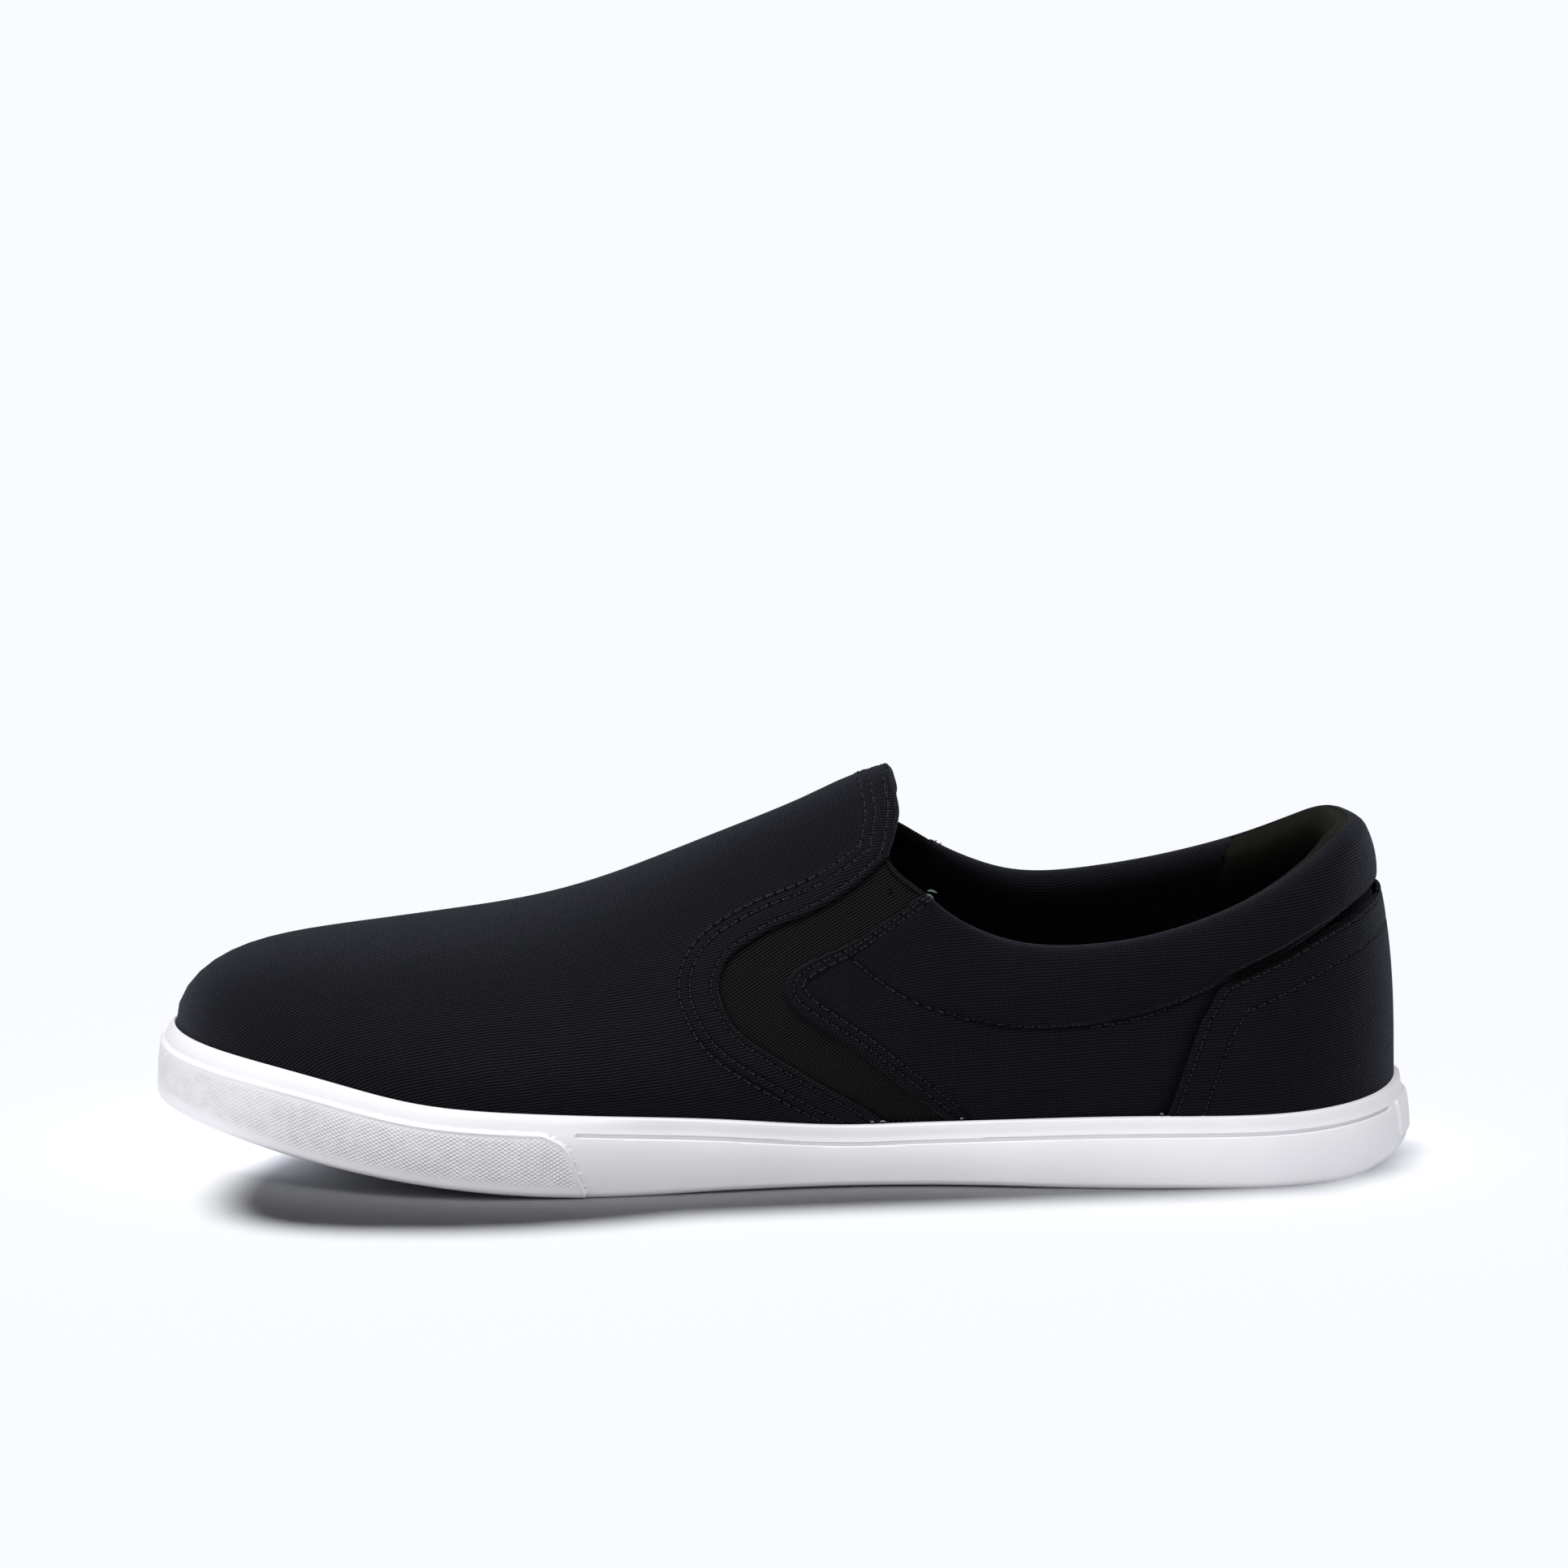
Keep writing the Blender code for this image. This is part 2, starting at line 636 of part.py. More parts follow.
def build_sole():
    count = STATIONS
    laps = np.arange(count) * 2 / count
    turn, _ = lap_turn(laps)
    station = station_of(turn)
    top = foot_z(station)
    low = under_z(station)

    def ring(z, offset):
        return lap_point(laps, z, np.full(count, 1.0) * offset)

    rings = [
        ring(floor_z(station), GAP),
        ring(top - RIM_INNER, GAP),
        ring(top - RIM_INNER / 4, RIM_FLAT),
    ]
    for depth in RIM_STEPS:
        rings.append(ring(top - depth, cup_offset(depth)))
    for share in (0.35, 0.68):
        z = (top - RIM_STEPS[-1]) * (1 - share) + (low + EDGE_HIGH) * share
        rings.append(ring(z, cup_offset(top - z)))
    rings.append(ring(low + EDGE_HIGH, cup_offset(top - low - EDGE_HIGH)))
    rings.append(ring(low + EDGE_LOW, cup_offset(top - low) - EDGE_SET))
    rings.append(ring(low, cup_offset(top - low) - 3 * EDGE_SET))
    sole = closed_stack("cupsole", rings, lambda s, share: floor_z(s), lambda s, share: under_z(s))
    share_rows = (0.0, 0.30, 0.62, 0.86, 0.96, 1.0)
    raise_rows = (0.15, 0.62, 0.92, 1.0, 0.80, 0.25)
    columns = 45
    along = np.linspace(0, 1, columns)
    levels = []
    for share, lift in zip(share_rows, raise_rows):
        end = float(bumper_end(share))
        lap = end + (2 - 2 * end) * along
        s = station_of(lap_turn(lap)[0])
        bottom = bottom_z(s) + 0.0012
        z = bottom + (foot_z(s) - BUMPER_DEPTH - bottom) * share
        levels.append((lap, z, cup_offset(foot_z(s) - z) + BUMPER_RAISE * lift))
    for share in (1.0, 0.0):
        end = float(bumper_end(share))
        lap = end + (2 - 2 * end) * along
        s = station_of(lap_turn(lap)[0])
        bottom = bottom_z(s) + 0.0012
        z = bottom + (foot_z(s) - BUMPER_DEPTH - bottom) * share
        levels.append((lap, z, cup_offset(foot_z(s) - z) - 0.0018))
    cut(sole, wall_band("bumper", along, levels), "UNION")
    lap = np.linspace(-PANEL_TURN, PANEL_TURN, 9)
    levels = []
    for z, out in ((PANEL_LOW, -0.001), (PANEL_LOW, PANEL_RAISE * 0.7), (PANEL_LOW + 0.0005, PANEL_RAISE),
                   (PANEL_HIGH - 0.0005, PANEL_RAISE), (PANEL_HIGH, PANEL_RAISE * 0.7), (PANEL_HIGH, -0.001)):
        depth = foot_z(station_of(lap_turn(lap)[0])) - z
        levels.append((lap, np.full(len(lap), z), cup_offset(depth) + out))
    cut(sole, wall_band("panel", lap, levels), "UNION")
    for start, end in ((GROOVE_REAR, GROOVE_FRONT), (2 - GROOVE_REAR, 2 - GROOVE_FRONT)):
        lap = np.linspace(start, end, 31)
        s = station_of(lap_turn(lap)[0])
        centre = foot_z(s) - GROOVE_DEPTH
        offset = cup_offset(foot_z(s) - centre)
        levels = []
        for rise, out in ((-0.5, 0.002), (-0.32, -GROOVE_CUT), (0.32, -GROOVE_CUT), (0.5, 0.002)):
            levels.append((lap, centre + rise * GROOVE_WIDTH, offset + out))
        cut(sole, wall_band("groove", lap, levels), "DIFFERENCE")
    for s in TREAD_FRONT + TREAD_REAR:
        cut(sole, tread_bar(s), "DIFFERENCE")
    return sole


def tread_bar(station):
    """A cutter for one flex groove across the underside, short of the sole's edges."""
    x = station * LAST
    z = float(bottom_z(station))
    ends = []
    for side in (1.0, -1.0):
        y = float(on_side(np.array(x), np.array(float(foot_z(station))), side)) - side * 0.008
        ends.append(y)
    half = TREAD_WIDTH / 2
    corners = []
    for px in (x - half, x + half):
        for py in ends:
            for pz in (z - 0.004, z + TREAD_CUT):
                corners.append((px, py, pz))
    faces = [(0, 1, 3, 2), (4, 6, 7, 5), (0, 4, 5, 1), (2, 3, 7, 6), (0, 2, 6, 4), (1, 5, 7, 3)]
    return make("tread", corners, faces)


def build_insole():
    count = STATIONS
    laps = np.arange(count) * 2 / count
    station = station_of(lap_turn(laps)[0])
    low = floor_z(station) + GAP
    high = floor_z(station) + 0.0042

    def ring(z, offset):
        return lap_point(laps, z, np.full(count, offset))

    rings = [
        ring(low, -(WALL + GAP)),
        ring(high - 0.0006, -(WALL + GAP)),
        ring(high, -(WALL + GAP) - 0.0008),
        ring(high - 0.0002, -(WALL + GAP) - 0.0045),
    ]
    return closed_stack(
        "insole", rings, lambda s, share: floor_z(s) + GAP,
        lambda s, share: floor_z(s) + 0.0042 - 0.0016 * np.sin(np.pi * share) * (1 - smooth(0.25, 0.55, s)) - 0.0002,
    )


def surface_plate(name, x, z, side, low, high):
    """A thin closed body that follows the last's surface, from one distance outside it to another."""
    base = np.stack([x, on_side(x, z, side), z], -1)
    normal = np.cross(np.gradient(base, axis=0), np.gradient(base, axis=1))
    normal /= np.linalg.norm(normal, axis=-1)[..., None]
    middle = base.reshape(-1, 3).mean(0)
    centre = np.array([middle[0], plan_centre(middle[0] / LAST) * BALL_WIDTH, middle[2]])
    if np.sum(normal * (base - centre)) < 0:
        normal = -normal
    rows, columns = x.shape
    size = rows * columns
    points = np.concatenate([(base + normal * low).reshape(-1, 3), (base + normal * high).reshape(-1, 3)])
    faces = []
    for i in range(rows - 1):
        for j in range(columns - 1):
            a = i * columns + j
            quad = (a, a + 1, a + columns + 1, a + columns)
            faces.append(quad)
            faces.append(tuple(v + size for v in reversed(quad)))
    border = [j for j in range(columns)]
    border += [i * columns + columns - 1 for i in range(1, rows)]
    border += [(rows - 1) * columns + j for j in range(columns - 2, -1, -1)]
    border += [i * columns for i in range(rows - 2, 0, -1)]
    for a, b in zip(border, border[1:] + border[:1]):
        faces.append((a, b, b + size, a + size))
    return make(name, points, faces)


def gore_grid(grow, side):
    """Stations and heights over a gore, grown past its edges by a distance."""
    rows = []
    for k in range(len(GORE)):
        rows.append((k / (len(GORE) - 1),) + GORE[k])
    t = np.linspace(0, 1, 27)
    front = np.stack([curve(rows, 1)(t) * LAST, curve(rows, 2)(t) * INSTEP_HEIGHT], -1)
    rear = np.stack([curve(rows, 3)(t) * LAST, curve(rows, 4)(t) * INSTEP_HEIGHT], -1)
    along = np.gradient((front + rear) / 2, axis=0)
    along /= np.linalg.norm(along, axis=-1)[:, None]
    across = front - rear
    across /= np.linalg.norm(across, axis=-1)[:, None]
    front = front + across * grow
    rear = rear - across * grow
    front[0] -= along[0] * grow
    rear[0] -= along[0] * grow
    front[-1] += along[-1] * grow
    rear[-1] += along[-1] * grow
    share = np.linspace(0, 1, 5)[None, :, None]
    flat = front[:, None] * (1 - share) + rear[:, None] * share
    return flat[..., 0], flat[..., 1]


def build_gore(name, side, upper):
    x, z = gore_grid(GAP, side)
    bed = surface_plate(name + "_bed", x, z, side, -GORE_BED, 0.003)
    cut(upper, bed, "DIFFERENCE")
    x, z = gore_grid(0.0, side)
    return surface_plate(name, x, z, side, -GORE_LOW, -GORE_TOP)


def build_counter():
    columns = 27
    c = np.linspace(-1, 1, columns)[None, :]
    v = np.linspace(0, 1, 7)[:, None]
    lap = c * turn_of(counter_front(v))
    turn = np.abs(lap)
    station = station_of(turn)
    side = np.where(lap < 0, -1.0, 1.0)
    high = counter_top(station) * INSTEP_HEIGHT
    low = foot_z(station) + 0.0004
    z = low * (1 - v) + high * v
    x = station * LAST
    x = x + lean_at(x, z)
    return surface_plate("heel_counter", x, z, side, GAP + 0.0001, GAP + COUNTER_THICK)


def main():
    for old in list(bpy.data.objects):
        bpy.data.objects.remove(old)
    upper = build_upper()
    pieces = [
        (build_sole(), "rubber"),
        (build_insole(), "board"),
        (build_gore("gore_lateral", 1.0, upper), "elastic"),
        (build_gore("gore_medial", -1.0, upper), "elastic"),
        (build_counter(), "canvas"),
        (upper, "canvas"),
    ]
    corners = np.array([tuple(v.co) for piece, _ in pieces for v in piece.data.vertices])
    low = corners.min(0)
    high = corners.max(0)
    shoe = bpy.data.objects.new("shoe", None)
    bpy.context.collection.objects.link(shoe)
    shoe.location = (-(low[0] + high[0]) / 2, -(low[1] + high[1]) / 2, -low[2])
    for piece, look in pieces:
        finish(piece, look)
        piece.parent = shoe
    bpy.context.view_layer.update()


main()
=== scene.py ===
import bpy
import numpy as np
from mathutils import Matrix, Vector
from mathutils.bvhtree import BVHTree


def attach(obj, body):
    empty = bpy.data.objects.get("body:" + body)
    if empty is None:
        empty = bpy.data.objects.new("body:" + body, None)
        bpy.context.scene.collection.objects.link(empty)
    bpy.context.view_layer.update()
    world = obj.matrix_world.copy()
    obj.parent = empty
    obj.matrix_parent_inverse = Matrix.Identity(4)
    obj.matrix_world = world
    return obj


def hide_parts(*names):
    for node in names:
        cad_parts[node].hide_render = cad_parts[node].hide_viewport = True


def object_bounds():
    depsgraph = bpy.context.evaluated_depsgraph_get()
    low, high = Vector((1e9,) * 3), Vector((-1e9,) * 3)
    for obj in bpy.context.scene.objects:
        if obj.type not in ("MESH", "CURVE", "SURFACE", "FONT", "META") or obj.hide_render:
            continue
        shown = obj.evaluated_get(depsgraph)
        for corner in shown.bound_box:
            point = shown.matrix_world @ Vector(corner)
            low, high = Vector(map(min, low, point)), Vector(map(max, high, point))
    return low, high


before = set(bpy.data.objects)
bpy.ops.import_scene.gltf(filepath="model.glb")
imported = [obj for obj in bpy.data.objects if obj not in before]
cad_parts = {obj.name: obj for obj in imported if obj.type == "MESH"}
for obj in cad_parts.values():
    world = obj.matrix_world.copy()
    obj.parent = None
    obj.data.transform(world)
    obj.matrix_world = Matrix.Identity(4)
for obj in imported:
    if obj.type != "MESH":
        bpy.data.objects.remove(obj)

CAD_BOX = [list(map(float, corner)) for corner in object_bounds()]
rng = np.random.default_rng(7)

# Named sizes, in metres
LENGTH = 0.2972
BALL_WIDTH = 0.107
INSTEP_HEIGHT = 0.0916
HEEL_HEIGHT = 0.084
CUP_WALL = 0.004
WALL = 0.0026
GAP = 0.0003
TOE_SPRING = 0.0112
SPRING_START = 0.64
ARCH = 0.0003
HEEL_BEVEL = 0.0042
BEVEL_END = 0.05
FLOOR_HEEL = 0.0095
FLOOR_TOE = 0.0068
LAST = LENGTH - 2 * CUP_WALL

# Plan of the foot line: station along the last, centre line and fullness as shares of the ball width
PLAN = [
    # station, centre, fullness
    (0.00, 0.018, 0.636),
    (0.05, 0.019, 0.588),
    (0.10, 0.021, 0.529),
    (0.15, 0.024, 0.461),
    (0.20, 0.027, 0.411),
    (0.30, 0.036, 0.337),
    (0.40, 0.042, 0.297),
    (0.50, 0.034, 0.325),
    (0.60, 0.012, 0.406),
    (0.70, -0.009, 0.492),
    (0.80, -0.034, 0.550),
    (0.90, -0.063, 0.561),
    (1.00, -0.093, 0.560),
]
# Side heights as shares of the instep height: where the upper leaves the sole, and the crown above that line
RISE = [
    # station, foot line, crown
    (0.00, 0.212, 1.56),
    (0.06, 0.190, 1.53),
    (0.15, 0.185, 1.47),
    (0.25, 0.181, 1.30),
    (0.35, 0.167, 1.035),
    (0.41, 0.160, 0.856),
    (0.435, 0.158, 0.829),
    (0.47, 0.161, 0.776),
    (0.55, 0.184, 0.643),
    (0.63, 0.202, 0.519),
    (0.71, 0.215, 0.432),
    (0.79, 0.230, 0.386),
    (0.86, 0.264, 0.346),
    (0.91, 0.285, 0.334),
    (0.96, 0.299, 0.340),
    (1.00, 0.316, 0.345),
]
# Shape of each section: roundness of the wall, roundness of the top, lean of the ridge to the inner side and
# belly of the outer and inner walls, the last three as shares of the ball width
SECTION = [
    # station, wall power, top power, ridge lean, outer belly, inner belly
    (0.00, 2.0, 2.0, 0.000, 0.004, 0.004),
    (0.20, 2.0, 2.0, 0.000, 0.012, 0.010),
    (0.40, 2.0, 2.0, 0.030, 0.012, 0.000),
    (0.55, 1.8, 2.0, 0.055, 0.018, 0.010),
    (0.70, 1.9, 2.1, 0.050, 0.020, 0.018),
    (0.85, 2.1, 2.3, 0.025, 0.016, 0.016),
    (1.00, 2.2, 2.4, 0.000, 0.010, 0.010),
]
# Back of the heel: height and how far it leans forward, as shares of the heel height
HEEL_BACK = [
    # height, lean
    (0.00, 0.000),
    (0.20, 0.0105),
    (0.40, 0.0155),
    (0.55, 0.0245),
    (0.70, 0.045),
    (0.80, 0.068),
    (0.90, 0.100),
    (1.00, 0.138),
]
# Top line: turn from heel to toe, station, and heights of the outer and inner side as shares of
# the instep height
TOP_LINE = [
    # turn, station, outer height, inner height
    (0.000, 0.000, 0.889, 0.889),
    (0.050, 0.0085, 0.880, 0.886),
    (0.100, 0.0245, 0.857, 0.873),
    (0.165, 0.0655, 0.799, 0.819),
    (0.220, 0.114, 0.734, 0.766),
    (0.270, 0.169, 0.672, 0.722),
    (0.330, 0.246, 0.622, 0.683),
    (0.380, 0.316, 0.627, 0.688),
    (0.420, 0.362, 0.684, 0.745),
    (0.450, 0.384, 0.738, 0.788),
    (0.500, 0.4005, 0.776, 0.822),
    (0.550, 0.4110, 0.812, 0.846),
    (0.600, 0.4105, 0.848, 0.870),
    (0.660, 0.4070, 0.890, 0.900),
    (0.780, 0.4050, 0.940, 0.945),
    (0.900, 0.4075, 0.982, 0.982),
    (1.000, 0.4115, 1.000, 1.000),
]
# Collar along the same turn: radius of the rolled edge, swell of the padding and depth of its band, in metres
COLLAR = [
    # turn, radius, swell, band
    (0.00, 0.0045, 0.0014, 0.0162),
    (0.20, 0.0042, 0.0017, 0.0170),
    (0.30, 0.0039, 0.0017, 0.0190),
    (0.38, 0.0036, 0.0014, 0.0220),
    (0.42, 0.0024, 0.0005, 0.0240),
    (0.45, 0.0014, 0.0000, 0.0240),
    (0.60, 0.0013, 0.0000, 0.0240),
    (1.00, 0.0013, 0.0000, 0.0240),
]
# Wall of the sole, going down from the foot line: depth, then offset out from the foot line, in metres
CUP_SIDE = [
    # depth, offset
    (0.0003, 0.0009),
    (0.0012, 0.0017),
    (0.0025, 0.0023),
    (0.0050, 0.0031),
    (0.0085, 0.0037),
    (0.0110, 0.0039),
    (0.0300, 0.0040),
]
# Rounded lower edge of the sole: its height and setback
EDGE_HIGH = 0.0013
EDGE_SET = 0.0004
# Toe bumper: lap round the sole where it ends, by share of its height from its lower edge
BUMPER_END = [
    # share, turn
    (0.00, 0.6034),
    (0.35, 0.6080),
    (0.69, 0.6120),
    (0.88, 0.6178),
    (1.00, 0.6265),
]
BUMPER_DEPTH = 0.0040
BUMPER_RAISE = 0.0006
GROOVE_DEPTH = 0.0044
GROOVE_FRONT = 0.6087
GROOVE_WIDTH = 0.0010
GROOVE_CUT = 0.0007
GROOVE_REAR = 0.0730
PANEL_TURN = 0.060
PANEL_LOW = 0.0062
PANEL_HIGH = 0.0150
PANEL_RAISE = 0.0007
TREAD_FRONT = (0.57, 0.62, 0.67, 0.72, 0.77, 0.82, 0.87)
TREAD_REAR = (0.07, 0.12, 0.17, 0.22)
TREAD_WIDTH = 0.0026
TREAD_CUT = 0.0012


def curve(rows, column, spread=None):
    """A smooth curve through one column of a table, straight beyond its ends."""
    xs = np.array([row[0] for row in rows], float)
    if spread:
        xs = spread(xs)
    ys = np.array([row[column] for row in rows], float)
    count = len(xs)
    step = np.diff(xs)
    matrix = np.eye(count)
    right = np.zeros(count)
    for i in range(1, count - 1):
        matrix[i, i - 1] = step[i - 1]
        matrix[i, i] = 2 * (step[i - 1] + step[i])
        matrix[i, i + 1] = step[i]
        right[i] = 6 * ((ys[i + 1] - ys[i]) / step[i] - (ys[i] - ys[i - 1]) / step[i - 1])
    bend = np.linalg.solve(matrix, right)

    def value(at):
        at = np.asarray(at, float)
        if spread:
            at = spread(at)
        at = np.clip(at, xs[0], xs[-1])
        k = np.clip(np.searchsorted(xs, at, side="right") - 1, 0, count - 2)
        h = step[k]
        a = (xs[k + 1] - at) / h
        b = (at - xs[k]) / h
        return (a * ys[k] + b * ys[k + 1]
                + ((a ** 3 - a) * bend[k] + (b ** 3 - b) * bend[k + 1]) * h ** 2 / 6)

    return value


def turn_of(station):
    return np.arccos(np.clip(1 - 2 * np.asarray(station, float), -1, 1)) / np.pi


def station_of(turn):
    return (1 - np.cos(np.pi * np.asarray(turn, float))) / 2


def smooth(edge0, edge1, value):
    t = np.clip((value - edge0) / (edge1 - edge0), 0, 1)
    return t * t * (3 - 2 * t)


plan_centre = curve(PLAN, 1, turn_of)
plan_full = curve(PLAN, 2, turn_of)
rise_foot = curve(RISE, 1, turn_of)
rise_crown = curve(RISE, 2, turn_of)
wall_power = curve(SECTION, 1)
top_power = curve(SECTION, 2)
ridge_lean = curve(SECTION, 3)
outer_belly = curve(SECTION, 4)
inner_belly = curve(SECTION, 5)
heel_lean = curve(HEEL_BACK, 1)
top_station = curve(TOP_LINE, 1)
roll_radius = curve(COLLAR, 1)
roll_swell = curve(COLLAR, 2)
roll_band = curve(COLLAR, 3)
cup_side = curve(CUP_SIDE, 1)
bumper_end = curve(BUMPER_END, 1)


def lean_at(x, z):
    """How far the heel's back has moved forward at this height; it fades out towards the toe."""
    fade = np.clip(1 - np.asarray(x, float) / LAST, 0, 1) ** 4
    return heel_lean(np.asarray(z, float) / HEEL_HEIGHT) * HEEL_HEIGHT * fade


def foot_z(station):
    return rise_foot(station) * INSTEP_HEIGHT


def crown_squared(station):
    """Square of the crown's height above the foot line; below zero beyond the toe."""
    return (rise_crown(station) * INSTEP_HEIGHT) ** 2 * (1 - np.clip(station, 0, 1.2) ** 8)


def section(x, z, side):
    """Centre, squared half width and how far below the crown, for a point at x and z on one side."""
    station = (x - lean_at(x, z)) / LAST
    above = np.maximum(z - foot_z(station), 0)
    share = above ** 2 / np.maximum(crown_squared(station), 1e-10)
    under = 1 - share ** (wall_power(station) / 2)
    taper = np.maximum(under, 0) ** (1 / top_power(station))
    belly = np.where(side > 0, outer_belly(station), inner_belly(station))
    hump = above / 0.012 * np.exp(1 - above / 0.012)
    shelf = 4 * station * (1 - station)
    half = (plan_full(station) + belly * hump) * BALL_WIDTH * taper
    middle = (plan_centre(station) - ridge_lean(station) * np.minimum(np.sqrt(share), 1)) * BALL_WIDTH
    return middle, shelf * half ** 2, np.where(shelf > 0, under, np.minimum(under, shelf))


def outside(x, y, z):
    """Above zero outside the last's surface, below zero inside it."""
    middle, squared, _ = section(x, z, np.ones_like(x))
    side = np.where(y > middle, 1.0, -1.0)
    middle, squared, under = section(x, z, side)
    return (y - middle) ** 2 - np.maximum(squared, 0) + np.maximum(-under, 0)


def on_side(x, z, side):
    """The y of the surface at x and z, on the outer (1) or inner (-1) side."""
    middle, squared, _ = section(x, z, side)
    return middle + side * np.sqrt(np.maximum(squared, 0))


def foot_point(turn, side):
    """A point of the foot line."""
    station = station_of(turn)
    x = station * LAST
    z = foot_z(station)
    x = x + lean_at(x, z)
    return np.stack([x, on_side(x, z, side), z], -1)


def top_angles(side):
    column = 2 if side > 0 else 3
    rows = []
    for row in TOP_LINE:
        above = row[column] * INSTEP_HEIGHT - foot_z(row[1])
        share = np.clip(above / np.sqrt(crown_squared(row[1])), 0, 1)
        rows.append((row[0], np.arcsin(share ** (wall_power(row[1]) / 2))))
    rows[-1] = (rows[-1][0], np.pi / 2)
    return curve(rows, 1)


OUTER_ANGLE = top_angles(1)
INNER_ANGLE = top_angles(-1)


def top_point(turn, side):
    """A point of the top line."""
    station = top_station(turn)
    angle = np.where(side > 0, OUTER_ANGLE(turn), INNER_ANGLE(turn))
    share = np.sin(angle) ** (2 / wall_power(station))
    z = foot_z(station) + np.sqrt(crown_squared(station)) * share
    x = station * LAST
    x = x + lean_at(x, z)
    return np.stack([x, on_side(x, z, side), z], -1)


def ribs(count, samples):
    """Curves up the last's surface, all round the shoe: heel, outer side, toe, inner side.

    Each rib runs from the foot line to the top line. Points of the chord between them are pushed out to the
    surface.
    """
    half = count // 2
    even_turn = np.arange(half + 1) / half
    near_heel = 1.03 * even_turn ** 2 / (even_turn + 0.03)
    turn = np.concatenate([near_heel, near_heel[-2:0:-1]])
    side = np.where(np.arange(count) <= half, 1.0, -1.0)
    foot = foot_point(turn, side)
    top = top_point(turn, side)
    along = np.roll(foot, -1, 0) - np.roll(foot, 1, 0)
    normal = np.stack([along[:, 1], -along[:, 0], np.zeros(count)], -1)
    flip = np.sign(np.sum(normal * (foot - foot.mean(0)), -1))
    normal = normal * (flip / np.linalg.norm(normal, axis=-1))[:, None]
    t = np.linspace(0, 1, samples)[None, :, None]
    chord = foot[:, None] * (1 - t) + top[:, None] * t
    rise = (top - foot)[:, 2]
    inward = -np.sum((top - foot) * normal, -1)
    push = normal * rise[:, None] + np.array([0, 0, 1.0]) * inward[:, None]
    push = (push / np.linalg.norm(push, axis=-1)[:, None])[:, None]
    low = np.full(chord.shape[:2], -0.022)
    high = np.full(chord.shape[:2], 0.060)
    for _ in range(40):
        middle = (low + high) / 2
        at = chord + push * middle[..., None]
        out = outside(at[..., 0], at[..., 1], at[..., 2]) > 0
        high = np.where(out, middle, high)
        low = np.where(out, low, middle)
    grid = chord + push * ((low + high) / 2)[..., None]
    grid[:, 0] = foot
    grid[:, -1] = top
    return turn, side, grid


def grid_normals(grid):
    """Outward normals of a grid of ribs."""
    across = np.roll(grid, -1, 0) - np.roll(grid, 1, 0)
    up = np.gradient(grid, axis=1)
    normal = np.cross(across, up)
    normal /= np.linalg.norm(normal, axis=-1)[..., None]
    if np.sum(normal[:, 0, :2] * (grid[:, 0, :2] - grid[:, 0, :2].mean(0))) < 0:
        normal = -normal
    return normal


def floor_z(station):
    """Top of the cup's floor."""
    flat = FLOOR_HEEL + (FLOOR_TOE - FLOOR_HEEL) * smooth(0.25, 0.65, station)
    return flat + bottom_z(station)


def bottom_z(station):
    """Underside of the sole: flat at heel and ball, a little higher at the waist, springing up at the toe."""
    spring = TOE_SPRING * np.clip((station - SPRING_START) / (1 - SPRING_START), 0, 2) ** 1.7
    arch = ARCH * smooth(0.24, 0.34, station) * (1 - smooth(0.54, 0.62, station))
    return spring + arch


def under_z(station):
    """The underside again, with the bevel at the back of the heel."""
    return bottom_z(station) + HEEL_BEVEL * np.clip(1 - station / BEVEL_END, 0, 1) ** 1.5


def lap_turn(lap):
    """Turn and side of a lap: 0 at the heel, 1 at the toe by the outer side, and 2 back at the heel."""
    lap = np.asarray(lap, float)
    turn = np.where(lap > 1, 2 - lap, np.abs(lap))
    side = np.where((lap > 1) | (lap < 0), -1.0, 1.0)
    return turn, side


def lap_point(lap, z, offset):
    """A point of the sole's wall: this far out from the foot line, at this height."""
    turn, side = lap_turn(lap)
    foot = foot_point(turn, side)
    before = foot_point(*lap_turn(np.asarray(lap) - 0.004))
    after = foot_point(*lap_turn(np.asarray(lap) + 0.004))
    run = after - before
    out = np.stack([run[..., 1], -run[..., 0]], -1)
    out = -out / np.linalg.norm(out, axis=-1)[..., None]
    point = foot.copy()
    point[..., :2] += out * np.asarray(offset)[..., None]
    point[..., 2] = z
    return point


# Scene sizes
RIBS = 480
RIB_POINTS = 170
# Ribs on each side of the middle of the heel that are spread along a smooth curve, and points of such a curve
HEEL_RIBS = 12
HEEL_ARC = 80
GORE_SINK = 0.00085
COUNTER_LIFT = 0.0008
FOLD = 0.0008
# Distances from the edge of a panel, and from a stitch row, at which its mesh gets a line
EDGE_CUTS = (0.00012, 0.00035, 0.0008)
ROW_CUTS = (-0.0009, -0.0004, 0.0, 0.0004, 0.0009)
STITCH_PITCH = 0.0027
STITCH_LENGTH = 0.0020
STITCH_RADIUS = 0.00021
HOLE_RADIUS = 0.00045
TUBE_SIDES = 7
THREAD_RISE = 0.0004
PATH_STEP = 0.0006
SEAM_PITCH = 0.0031
HEEL_LINING_TURN = 0.222
CANVAS_INSIDE = 0.011
VAMP_TURN_IN = 0.008
INNER_RISE = 0.0040
INNER_SET_BACK = 0.0040

# Where the shoe's own frame sits in the scene's frame
SHIFT = np.array([
    (CAD_BOX[0][0] + CAD_BOX[1][0]) / 2 - 0.14491835,
    0.00193194,
    0.0,
])

